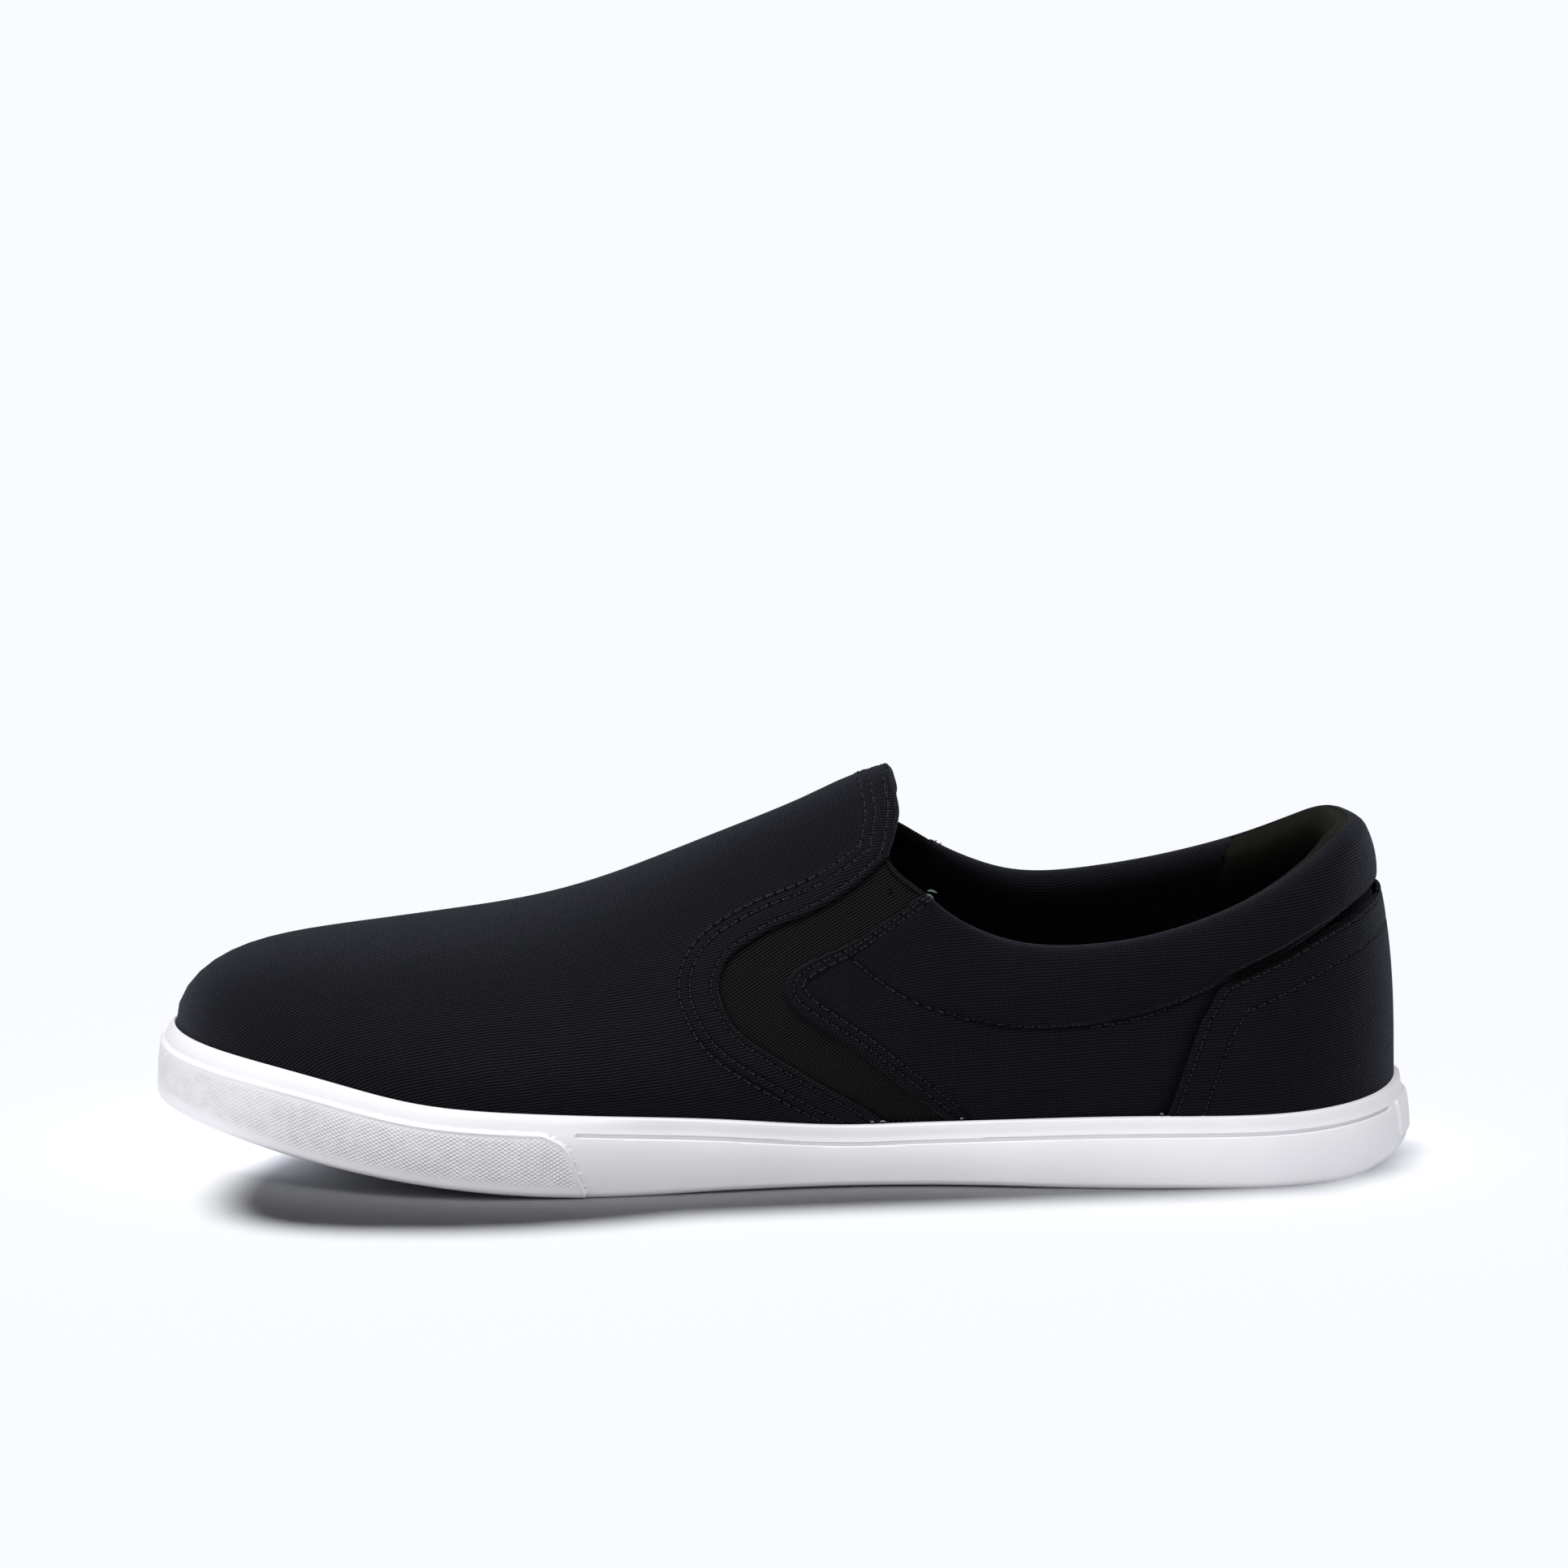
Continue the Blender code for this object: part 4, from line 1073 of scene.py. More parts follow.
def rubber_material(name, dark, light):
    """White moulded rubber; where the attribute scales is 1, it carries small raised scales."""
    net = Net(name, 0.42, 0.42)
    where = net.metres()
    x, y = net.parts(where)
    a = x / SCALE_PITCH[0]
    b = y / SCALE_PITCH[1]
    lump = abs(net.math("SINE", (a + b) * np.pi) * net.math("SINE", (a - b) * np.pi)) ** 0.6
    patch = net.span(net.noise(where, 260.0, 3.0, 0.6), 0.30, 0.65, 0.40, 0.85)
    fine = net.noise(where, 2400.0, 3.0, 0.6)
    broad = net.noise(where, 45.0, 3.0)
    height = lump * (patch * net.attribute("scales")) + fine * 0.08 + broad * 0.15
    net.shade(Base_Color=net.ramp(net.span(broad, 0.3, 0.7), dark, light), Normal=net.bump(height, 0.00030),
              Roughness=net.span(fine, 0.3, 0.7, 0.36, 0.5))
    return net.material


def plain_material(name, colour, rough):
    net = Net(name, rough, 0.0)
    net.shade(Base_Color=(*colour, 1.0))
    return net.material


# Upper
cells = master_grid()
rows_count = cells.shape[1]
flat_cells = cells.reshape(-1, WIDTH)
all_faces = triangles(RIBS, rows_count)

NAVY = ((0.0012, 0.0013, 0.0020), (0.0148, 0.0152, 0.0206))
DEEP_NAVY = ((0.0014, 0.0015, 0.0022), (0.0113, 0.0116, 0.0158))
canvas_vamp = canvas_material("canvas_vamp", *NAVY, turn=0.0, contrast=1.65)
canvas_quarter = canvas_material("canvas_quarter", *DEEP_NAVY, turn=0.06, contrast=1.2)
elastic = elastic_material("elastic", (0.0008, 0.0008, 0.0007), (0.0212, 0.0215, 0.0198))
# The lining is near black: partly the cloth's own dark tone, partly painted shade for the deep inside
lining_cloth = cloth_material("lining_cloth", (0.0006, 0.0006, 0.0006), (0.0018, 0.0018, 0.0018))
heel_cloth = cloth_material("heel_cloth", (0.0028, 0.0027, 0.0020), (0.0120, 0.0114, 0.0083))
board_cloth = cloth_material("board_cloth", (0.0020, 0.0020, 0.0022), (0.0060, 0.0060, 0.0066))
rubber = rubber_material("rubber", (0.750, 0.746, 0.778), (0.785, 0.781, 0.810))
thread = thread_material("thread", (0.0098, 0.0101, 0.0132))
# Needle holes: near-black discs of painted shade
painted_hole_material = plain_material("needle_hole_painted_shade", (0.0015, 0.0015, 0.0020), 1.0)
floor_look = plain_material("floor_white", (0.90, 0.915, 0.945), 0.9)


vamp_rows = [curve(VAMP_ROWS, k) for k in (1, 2, 3)]
quarter_rows = [curve(QUARTER_ROWS, k) for k in (1, 2)]
counter_rows = [curve(COUNTER_ROWS, k) for k in (1, 2)]


def row_gap(v, column, row):
    """Signed distance from a stitch row, for points measured from the edge of their panel."""
    return v[:, column] - row(v[:, BZ] / INSTEP_HEIGHT)


def cut_rows(cells, faces, column, rows):
    """Mesh lines along and beside each stitch row."""
    for row in rows:
        cells, faces = cut_lines(cells, faces, lambda v: row_gap(v, column, row), ROW_CUTS)
    return cells, faces


def row_dent(cells, column, rows):
    """How deep the cloth is pulled in at the stitch rows, between 0 and 1."""
    return np.max([groove(row_gap(cells, column, row), 0.0, 0.00048) for row in rows], 0)


def finish_panel(name, cells, faces, lift, material, uv, slot, wobble=0.00010, shade=0.0):
    """Lift a cut panel along its normals and make it a piece."""
    normal = unit(cells[:, N:N + 3])
    uneven = noise(cells[:, P:P + 3], 0.035, 3) * wobble
    points = cells[:, P:P + 3] + normal * (lift + uneven)[:, None]
    dark = np.broadcast_to(shade, len(cells))
    return mesh_piece(name, points, faces, material, uv, slot, shade=dark)


def build_vamp():
    c, f = keep_where(flat_cells, all_faces, lambda v: v[:, W] + VAMP_TURN_IN)
    c, f = keep_where(c, f, lambda v: v[:, FV])
    c, f = cut_lines(c, f, lambda v: v[:, FV], EDGE_CUTS)
    c, f = cut_rows(c, f, FV, vamp_rows)
    e = c[:, FV]
    on_outer = np.where(c[:, W] > 0.0012, 1.0, 0.0)
    at_gore = np.where(c[:, D] > 0.0012, 1.0, 0.0)
    lift = fold_height(e, FOLD, GORE_SINK + 0.0001) * at_gore
    past_rows = row_gap(c, FV, vamp_rows[2])
    doubled = 0.00032 * (1 - smooth(0.0002, 0.0016, past_rows)) * on_outer
    dent = row_dent(c, FV, vamp_rows) * on_outer
    # Painted shade in the stitch rows' dents and along the edge over the gore
    shade = 0.50 * dent + 0.45 * smooth(0.0006, 0.0, e) * at_gore
    high = c[:, BZ] / INSTEP_HEIGHT
    # Painted light: lighter towards the top of the vamp and along the upper throat edge, where light falls
    # from above
    painted_light = 0.75 * smooth(0.72, 0.95, high) + 0.32 * smooth(0.0120, 0.0, e) * smooth(0.66, 0.80, high)
    shade = shade - painted_light * (1 - shade)
    # Painted shade on the inner face, darker the deeper it goes
    shade = np.maximum(shade, smooth(0.0006, 0.0060, -c[:, W]))
    lift = lift + doubled - 0.00028 * dent
    return finish_panel("vamp", c, f, lift, canvas_vamp, c[:, [FU, FW]], "canvas", shade=shade)


def crest_line(cells):
    """Where cloth meets the heel lining: outside the crest at the heel, on it at the sides."""
    return 0.0014 * (1 - smooth(0.05, 0.20, np.abs(cells[:, LAP])))


def heel_gap(cells):
    """Above zero where the collar has the heel lining; the edge leans forward as it goes down."""
    return HEEL_LINING_TURN + 2.0 * np.clip(-cells[:, W], 0, 0.01) - np.abs(cells[:, LAP])


def build_quarters():
    def inside(v):
        ring = np.where(heel_gap(v) < 0, CANVAS_INSIDE, 0.0003 - crest_line(v))
        return v[:, W] + ring
    c, f = keep_where(flat_cells, all_faces, lambda v: v[:, FQ])
    c, f = keep_where(c, f, inside)
    c, f = cut_lines(c, f, lambda v: v[:, FQ], EDGE_CUTS)
    c, f = cut_rows(c, f, FQ, quarter_rows)
    c, f = cut_lines(c, f, lambda v: v[:, FS], (0.0004, 0.0010))
    c, f = cut_lines(c, f, lambda v: v[:, FC], (-0.0026, -0.0019, -0.0013, -0.0008, -0.0003))
    q = c[:, FQ]
    outer = smooth(0.001, 0.003, c[:, W])
    lift = fold_height(q, FOLD, GORE_SINK + 0.0001) * np.where(c[:, D] > 0.0012, 1.0, 0.0)
    dent = row_dent(c, FQ, quarter_rows) * outer
    seam = groove(c[:, FS], 0.0, 0.0006) * outer
    beside = c[:, FC]
    station = (c[:, BX] - lean_at(c[:, BX], c[:, BZ])) / LAST
    at_top = smooth(0.150, 0.128, station)
    tuck = smooth(-0.0025, -0.0013, beside) * outer
    near_front = np.exp(np.minimum(beside, 0) / 0.0016) * (1 - at_top) * outer
    pucker = 0.00012 * np.sin(c[:, U] / SEAM_PITCH * 2 * np.pi) * groove(c[:, FS], 0.0, 0.0022) * outer
    lift = lift + pucker - 0.00026 * dent - 0.00032 * seam
    lift = lift - (0.0014 * at_top + 0.0004 * (1 - at_top)) * tuck - 0.0006 * near_front
    # Painted shade in the stitch rows' dents, the collar's seam and along the edge over the gore; painted
    # shadow in the groove under the collar and beside the overlay's front edge; painted shade inside, darker
    # the deeper it goes
    shade = 0.50 * dent + 0.55 * seam + 0.45 * smooth(0.0006, 0.0, q) * outer
    shade = np.maximum(shade, 0.98 * at_top * smooth(-0.0022, -0.0014, beside) * outer)
    shade = np.maximum(shade, 0.75 * near_front)
    shade = np.maximum(shade, smooth(0.0010, 0.0090, -c[:, W]) ** 0.8)
    return finish_panel("quarters", c, f, lift, canvas_quarter, c[:, [U, V]], "canvas", shade=shade)


def gore_uv(cells):
    """Ribs run along the gore's upper arm."""
    angle = np.radians(31)
    x = cells[:, BX]
    z = cells[:, BZ]
    along = -x * np.cos(angle) + z * np.sin(angle)
    across = x * np.sin(angle) + z * np.cos(angle)
    return np.stack([along, across], -1)


def build_gore_piece(name, side):
    mine = flat_cells[:, LAP] * side > 0.2
    f = all_faces[mine[all_faces].all(1)]
    used, inverse = np.unique(f, return_inverse=True)
    c, f = flat_cells[used], inverse.reshape(-1, 3)
    c, f = keep_where(c, f, lambda v: 0.0045 - v[:, FV])
    c, f = keep_where(c, f, lambda v: 0.0045 - v[:, FQ])
    c, f = keep_where(c, f, lambda v: v[:, W] + 0.006)
    c, f = cut_lines(c, f, lambda v: v[:, D], (0.0009, 0.0013, 0.0015, 0.0017, 0.0019, 0.0022))
    outer = smooth(0.0, 0.0006, c[:, W])
    hem = 0.00045 * (1 - smooth(0.0012, 0.0016, c[:, D])) * outer
    slot = groove(c[:, D], 0.0017, 0.00020) * outer
    lift = -GORE_SINK * smooth(-0.0008, 0.0006, c[:, W]) + hem - 0.00025 * slot
    # Painted shadow under the vamp's and the quarter's edges and in the slot below the hem, the body below
    # the hem a little darker than the hem, and painted shade on the inner face
    shade = 0.85 * np.exp(-np.maximum(-c[:, FV], 0) / 0.0010) * np.where(c[:, FV] > -0.006, 1.0, 0.0)
    shade = np.maximum(shade, 0.55 * np.exp(-np.maximum(-c[:, FQ], 0) / 0.0005))
    shade = np.maximum(shade, 0.28 * smooth(0.0013, 0.0018, c[:, D]))
    shade = np.maximum(shade, 0.85 * slot)
    shade = np.maximum(shade, smooth(0.0, 0.0035, -c[:, W]))
    return finish_panel(name, c, f, lift, elastic, gore_uv(c), "elastic", wobble=0.00006, shade=shade)


def build_counter_piece():
    c, f = keep_where(flat_cells, all_faces, lambda v: np.where(v[:, W] > 0, v[:, FC], -0.01))
    c, f = cut_lines(c, f, lambda v: v[:, FC], EDGE_CUTS)
    c, f = cut_rows(c, f, FC, counter_rows)
    e = c[:, FC]
    dent = row_dent(c, FC, counter_rows)
    lift = COUNTER_LIFT + fold_height(e, FOLD, COUNTER_LIFT + 0.0002) - 0.00024 * dent
    station = (c[:, BX] - lean_at(c[:, BX], c[:, BZ])) / LAST
    at_top = smooth(0.150, 0.128, station)
    # Painted shade in the stitch rows' dents and at the edge, and a near-black band of painted shadow along
    # the top edge, under the collar
    shade = 0.45 * dent + 0.45 * smooth(0.0006, 0.0, e)
    shade = np.maximum(shade, 0.96 * at_top * smooth(0.0012, 0.0006, e))
    return finish_panel("heel_overlay", c, f, lift, canvas_quarter, c[:, [U, V]], "canvas", shade=shade)


def build_linings():
    c, f = keep_where(flat_cells, all_faces, lambda v: crest_line(v) + 0.0001 - v[:, W])
    heel, hf = keep_where(c, f, heel_gap)
    inward = crest_line(heel) - heel[:, W]
    tuck = -0.0003 + 0.0004 * smooth(0.0, 0.0008, inward) - 0.0002 * groove(inward, 0.0030, 0.0005)
    seam = groove(heel_gap(heel), 0.0, 0.004)
    # Painted shade deep inside and in the groove below the crest; darker along the lining's front edges
    deep = 0.96 * smooth(0.0020, 0.0130, -heel[:, W]) ** 0.7
    shade = np.maximum(deep, 0.25 * groove(inward, 0.0030, 0.0006))
    shade = np.maximum(shade, 0.6 * seam)
    # Painted light along the rim at the back of the heel
    shade = shade - 0.9 * smooth(0.0040, 0.0020, inward) * smooth(0.10, 0.04, np.abs(heel[:, LAP]))
    lift = tuck - 0.0004 * seam
    finish_panel("heel_lining", heel, hf, lift, heel_cloth, heel[:, [U, V]], "canvas", shade=shade)
    c, f = keep_where(flat_cells, all_faces, lambda v: -0.0040 - v[:, W])
    rest, rf = keep_where(c, f, lambda v: 0.01 - heel_gap(v))
    finish_panel("lining", rest, rf, np.full(len(rest), -0.0002), lining_cloth, rest[:, [U, V]], "canvas")


vamp = build_vamp()
quarters = build_quarters()
gore_out = build_gore_piece("gore_outer_side", 1)
gore_in = build_gore_piece("gore_inner_side", -1)
overlay = build_counter_piece()
build_linings()
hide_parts("upper")
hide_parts("gore_lateral")
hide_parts("gore_medial")
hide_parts("heel_counter")

# Sole
S_ARC, S_DEPTH, S_Z, S_LAP, S_BUMP, S_GROOVE, S_PANEL, S_V = 6, 7, 8, 9, 10, 11, 12, 13
S_WIDTH = 14
SOLE_COLUMNS = 760
LIP = 0.00030


def rim_side(depth, blunt):
    """Offset of the sole's side at a depth; behind the bumper the rim is squarer."""
    side = float(cup_side(depth))
    return side + blunt * 0.75 * max(0.0, 0.0024 - side)


def sole_profile(height, blunt):
    """Offset out and depth below the foot line of the sole's side, for a sole this high."""
    rows = [(GAP, height - 0.006), (GAP, 0.0030), (GAP, 0.0008)]
    rows += [(0.00036, 0.0003), (0.00048, 0.0001), (0.00064, 0.0001)]
    for depth in (0.0003, 0.0006, 0.0009, 0.0013, 0.0018, 0.0024, 0.0030):
        rows.append((rim_side(depth, blunt), depth))
    low = height - EDGE_HIGH
    for share in np.linspace(0, 1, 38)[1:]:
        depth = 0.0030 * (1 - share) + low * share
        rows.append((rim_side(depth, blunt), depth))
    last = float(cup_side(low))
    for angle in np.linspace(0, np.pi / 2, 6)[1:]:
        rows.append((last - 3 * EDGE_SET * (1 - np.cos(angle)), low + EDGE_HIGH * np.sin(angle)))
    rows.append((last - 0.0040, height))
    rows.append((last - 0.0100, height))
    return rows


def build_sole_piece():
    laps = np.linspace(0, 2, SOLE_COLUMNS, endpoint=False)
    turn, _ = lap_turn(laps)
    station = station_of(turn)
    top = foot_z(station)
    low = under_z(station)
    foot = lap_point(laps, top, np.zeros(SOLE_COLUMNS))
    rim = lap_point(laps, top, np.full(SOLE_COLUMNS, 0.004))
    out = unit((rim - foot) * np.array([1, 1, 0]))
    arc = np.concatenate([[0], np.cumsum(np.linalg.norm(np.diff(rim[:, :2], axis=0), axis=-1))])
    total = arc[-1] + np.linalg.norm(rim[0, :2] - rim[-1, :2])
    blunt = 1 - smooth(0.56, 0.63, turn)
    profiles = [sole_profile(h, b) for h, b in zip(top - low, blunt)]
    rows = len(profiles[0])
    cells = np.zeros((SOLE_COLUMNS, rows, S_WIDTH))
    offset = np.array([[r[0] for r in p] for p in profiles])
    depth = np.array([[r[1] for r in p] for p in profiles])
    cells[..., 0:3] = foot[:, None] + out[:, None] * offset[..., None]
    cells[..., 2] = top[:, None] - depth
    cells[..., 3:6] = out[:, None]
    cells[..., S_ARC] = arc[:, None]
    cells[..., S_DEPTH] = depth
    cells[..., S_Z] = cells[..., 2]
    cells[..., S_LAP] = laps[:, None]
    cells[..., S_V] = depth
    half_arc = arc[:SOLE_COLUMNS // 2 + 1]
    half_turn = turn[:SOLE_COLUMNS // 2 + 1]
    from_heel = np.minimum(arc, total - arc)
    a = np.broadcast_to(from_heel[:, None], depth.shape)
    ahead = a - np.interp(bumper_turn_at(depth, top[:, None], low[:, None]), half_turn, half_arc)
    share = np.linspace(0, 1, 60)
    end_turn = bumper_end(share)
    end_top = foot_z(station_of(end_turn))
    end_low = bottom_z(station_of(end_turn)) + 0.0012
    end_depth = end_top - (end_low + (end_top - BUMPER_DEPTH - end_low) * share)
    line_a = np.concatenate([np.interp(end_turn, half_turn, half_arc), np.linspace(
        float(np.interp(end_turn[-1], half_turn, half_arc)), total / 2 + 0.02, 160)[1:]])
    line_d = np.concatenate([end_depth, np.full(159, BUMPER_DEPTH)])
    line = np.stack([line_a, line_d, 0 * line_a], -1)
    flat = np.stack([a.ravel(), depth.ravel(), 0 * depth.ravel()], -1)
    gap = nearest(flat, line).reshape(depth.shape)
    inside = (ahead > 0) & (depth > BUMPER_DEPTH)
    cells[..., S_BUMP] = np.where(inside, gap, -gap)
    front = float(np.interp(GROOVE_FRONT, half_turn, half_arc))
    rear = float(np.interp(GROOVE_REAR, half_turn, half_arc))
    reach = np.minimum(a - rear, front - a)
    cells[..., S_GROOVE] = np.minimum(GROOVE_WIDTH / 2 - np.abs(depth - GROOVE_DEPTH), reach)
    wide = float(np.interp(PANEL_TURN, half_turn, half_arc))
    middle = (PANEL_LOW + PANEL_HIGH) / 2
    qx = a - (wide - 0.0012)
    qz = np.abs(cells[..., 2] - middle) - ((PANEL_HIGH - PANEL_LOW) / 2 - 0.0012)
    outer = np.hypot(np.maximum(qx, 0), np.maximum(qz, 0)) + np.minimum(np.maximum(qx, qz), 0)
    cells[..., S_PANEL] = 0.0012 - outer
    c = cells.reshape(-1, S_WIDTH)
    f = triangles(SOLE_COLUMNS, rows)
    c, f = cut_lines(c, f, lambda v: v[:, S_BUMP], (0.0, 0.00012, 0.0003, 0.0006, 0.0010))
    c, f = cut_lines(c, f, lambda v: v[:, S_GROOVE], (0.0, 0.00010, 0.00022))
    c, f = cut_lines(c, f, lambda v: v[:, S_PANEL], (0.0, 0.00012, 0.0003, 0.0005))
    b = c[:, S_BUMP]
    lift = BUMPER_RAISE * np.sqrt(np.clip(b / 0.0003, 0, 1)) * (0.82 + 0.18 * smooth(0.02, 0.0, b))
    lift = lift + LIP * np.exp(-((b - 0.00055) / 0.0004) ** 2) * (b > 0)
    lift = lift - 0.00012 * np.exp(-(b / 0.0006) ** 2) * (b <= 0)
    lift = lift - GROOVE_CUT * smooth(0.0, 0.00022, c[:, S_GROOVE])
    lift = lift + PANEL_RAISE * np.sqrt(np.clip(c[:, S_PANEL] / 0.0004, 0, 1))
    uneven = 0.00006 * noise(c[:, 0:3], 0.030, 11)
    points = c[:, 0:3] + c[:, 3:6] * (lift + uneven * smooth(0.0, 0.001, c[:, S_DEPTH]))[:, None]
    uv = np.stack([c[:, S_ARC], c[:, S_V]], -1)
    scales = smooth(0.0008, 0.0022, b) * smooth(0.0022, 0.0045, c[:, S_Z] - bottom_z_at(c[:, S_LAP]))
    return mesh_piece("sole_wall", points, f, rubber, uv, "rubber", scales=scales)


def bumper_turn_at(depth, top, low):
    """Turn at which the toe bumper ends, for a point this far below the foot line."""
    bottom = low + 0.0012
    share = np.clip((top - depth - bottom) / np.maximum(top - BUMPER_DEPTH - bottom, 1e-4), 0, 1)
    return bumper_end(share)


def bottom_z_at(lap):
    return bottom_z(station_of(lap_turn(lap)[0]))


def between_sides(turn, z, offset, columns):
    """A grid of points across the shoe, and the share of the way from the outer to the inner side."""
    share = np.linspace(0, 1, columns)
    left = lap_point(turn, z, np.full(len(turn), offset))
    right = lap_point(2 - turn, z, np.full(len(turn), offset))
    grid = left[:, None] * (1 - share[None, :, None]) + right[:, None] * share[None, :, None]
    return grid, share, np.linalg.norm(left - right, axis=-1)[:, None]


def flat_piece(name, grid, material, slot, **values):
    """A piece made of a grid of points, with its plan as cloth coordinates."""
    faces = triangles(*grid.shape[:2], wrap=False)
    points = grid.reshape(-1, 3)
    return mesh_piece(name, points, faces, material, points[:, :2], slot, **values)


def build_tread():
    """The underside: flex grooves across the ball and heel, with a fine rib pattern between them."""
    turn = np.linspace(0.012, 0.988, 420)
    grid, share, wide = between_sides(turn, under_z(station_of(turn)), -0.0005, 110)
    x = grid[..., 0] / LAST
    grid[..., 2] = under_z(np.clip(x, 0, 1))
    edge = np.minimum(share, 1 - share)[None] * wide
    cut = np.zeros_like(x)
    for s in TREAD_FRONT + TREAD_REAR:
        across = TREAD_WIDTH / 2 - np.abs(grid[..., 0] - s * LAST)
        cut = np.maximum(cut, TREAD_CUT * smooth(0.0, 0.0005, across) * smooth(0.0, 0.0005, edge - 0.004))
    zigzag = np.abs(np.mod(grid[..., 1] / 0.009, 2) - 1) * 0.0045
    wave = np.sin((grid[..., 0] + zigzag) / 0.0042 * 2 * np.pi)
    field = smooth(0.0, 0.001, edge - 0.006) * smooth(0.02, 0.05, x) * smooth(0.98, 0.95, x)
    cut = np.maximum(cut, 0.00055 * smooth(0.15, 0.45, wave) * field)
    grid[..., 2] += cut
    return flat_piece("tread", grid, rubber, "rubber", scales=np.zeros(cut.size))


def build_insole_piece():
    """Insole: cloth-covered board inside the wall, dished at the heel."""
    turn = np.linspace(0.02, 0.98, 200)
    grid, share, _ = between_sides(turn, floor_z(station_of(turn)), -(WALL + GAP), 60)
    x = np.clip(grid[..., 0] / LAST, 0, 1)
    dish = 0.0016 * np.sin(np.pi * share)[None] * (1 - smooth(0.25, 0.55, x))
    round_edge = 0.0012 * smooth(0.06, 0.0, np.minimum(share, 1 - share))[None]
    grid[..., 2] = floor_z(x) + 0.0042 - dish - round_edge
    return flat_piece("insole_top", grid, board_cloth, "board")


sole_wall = build_sole_piece()
build_tread()
insole_top = build_insole_piece()
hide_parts("cupsole")
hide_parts("insole")

# Stitches


def surface_tree(piece):
    mesh = piece.data
    points = np.empty(len(mesh.vertices) * 3)
    mesh.vertices.foreach_get("co", points)
    faces = [tuple(p.vertices) for p in mesh.polygons]
    return BVHTree.FromPolygons(points.reshape(-1, 3).tolist(), faces)


def offset_path(edge, distance, tree, hint):
    """A path on the surface at a distance from an edge curve, on the side that the hint points to."""
    edge = edge + SHIFT
    tangent = unit(np.gradient(edge, axis=0))
    hint = np.array(hint) / np.linalg.norm(hint)
    path = []
    for k in range(len(edge)):
        spot = edge[k] + hint * distance[k]
        for _ in range(4):
            near = np.array(tree.find_nearest(Vector(spot))[0])
            way = near - edge[k]
            way -= tangent[k] * (way @ tangent[k])
            spot = edge[k] + way / max(np.linalg.norm(way), 1e-9) * distance[k]
        path.append(np.array(tree.find_nearest(Vector(spot))[0]))
    path = np.array(path)
    path = path[nearest(path, edge) > distance * 0.9]
    jumps = np.where(np.linalg.norm(np.diff(path, axis=0), axis=-1) > 0.0030)[0] + 1
    return max(np.split(path, jumps), key=len)


def even(path, pitch, start=0.5):
    """Points spread at a pitch along a path."""
    if len(path) < 4:
        return np.zeros((0, 3))
    step = np.linalg.norm(np.diff(path, axis=0), axis=-1)
    run = np.concatenate([[0], np.cumsum(step)])
    count = int(run[-1] / pitch)
    at = (np.arange(count) + start) * pitch
    return np.stack([np.interp(at, run, path[:, k]) for k in range(3)], -1)


def add_tube(points, faces, spine, across, other):
    """Add a closed tube to the lists; across and other are its half widths at each point of its spine."""
    first = len(points)
    angle = np.linspace(0, 2 * np.pi, TUBE_SIDES, endpoint=False)[:, None]
    rings = spine[:, None] + across[:, None] * np.cos(angle) + other[:, None] * np.sin(angle)
    points.extend(rings.reshape(-1, 3))
    for k in range(len(spine) - 1):
        for j in range(TUBE_SIDES):
            a = first + k * TUBE_SIDES + j
            b = first + k * TUBE_SIDES + (j + 1) % TUBE_SIDES
            faces.append((a, b, b + TUBE_SIDES, a + TUBE_SIDES))
    faces.append(tuple(range(first, first + TUBE_SIDES))[::-1])
    faces.append(tuple(range(len(points) - TUBE_SIDES, len(points))))


def stitch_mesh(name, paths, tree, pitch, length, radius):
    """Rows of stitches: each a short bowed thread that dips into the cloth at both ends."""
    points, faces = [], []
    t = np.linspace(-1, 1, 7)[:, None]
    rise = radius * (0.75 - 1.75 * abs(t) ** 3)
    fat = radius * (1 - 0.55 * abs(t) ** 4) * (1 + 0.10 * np.cos(t * 9))
    for path in paths:
        spots = even(path, pitch)
        if len(spots) < 3:
            continue
        for spot, way in zip(spots, unit(np.gradient(spots, axis=0))):
            near, normal, _, _ = tree.find_nearest(Vector(spot))
            normal = np.array(normal)
            way = unit(way - normal * (way @ normal))
            across = np.cross(normal, way)
            spin = rng.normal(0, 0.05)
            size = length * rng.uniform(0.92, 1.06)
            spun = way * np.cos(spin) + across * np.sin(spin)
            across = across * np.cos(spin) - way * np.sin(spin)
            spine = np.array(near) + spun * t * size / 2 + normal * rise
            add_tube(points, faces, spine, across * fat, normal * fat * 0.8)
    new_piece(name, points, faces, thread)


def hole_mesh(name, paths, tree, pitch, radius):
    """Needle holes between the stitches: small near-black discs, painted shade for the shade inside each
    hole.
    """
    points, faces = [], []
    angle = np.linspace(0, 2 * np.pi, 8, endpoint=False)[:, None]
    for path in paths:
        for spot in even(path, pitch, 1.0):
            near, normal, _, _ = tree.find_nearest(Vector(spot))
            normal = np.array(normal)
            across = unit(np.cross(normal, [0.3, 0.5, 0.8]))
            ring = across * np.cos(angle) + np.cross(normal, across) * np.sin(angle)
            first = len(points)
            points.append(np.array(near) + normal * 0.00006)
            points.extend(np.array(near) + ring * radius - normal * 0.00002)
            faces.extend((first, first + 1 + j, first + 1 + (j + 1) % 8) for j in range(8))
    new_piece(name, points, faces, painted_hole_material, rounded=False)


def row_paths(edge, rows, tree, hint):
    """Paths of the stitch rows that follow one edge."""
    return [offset_path(edge, row(edge[:, 2] / INSTEP_HEIGHT), tree, hint) for row in rows]


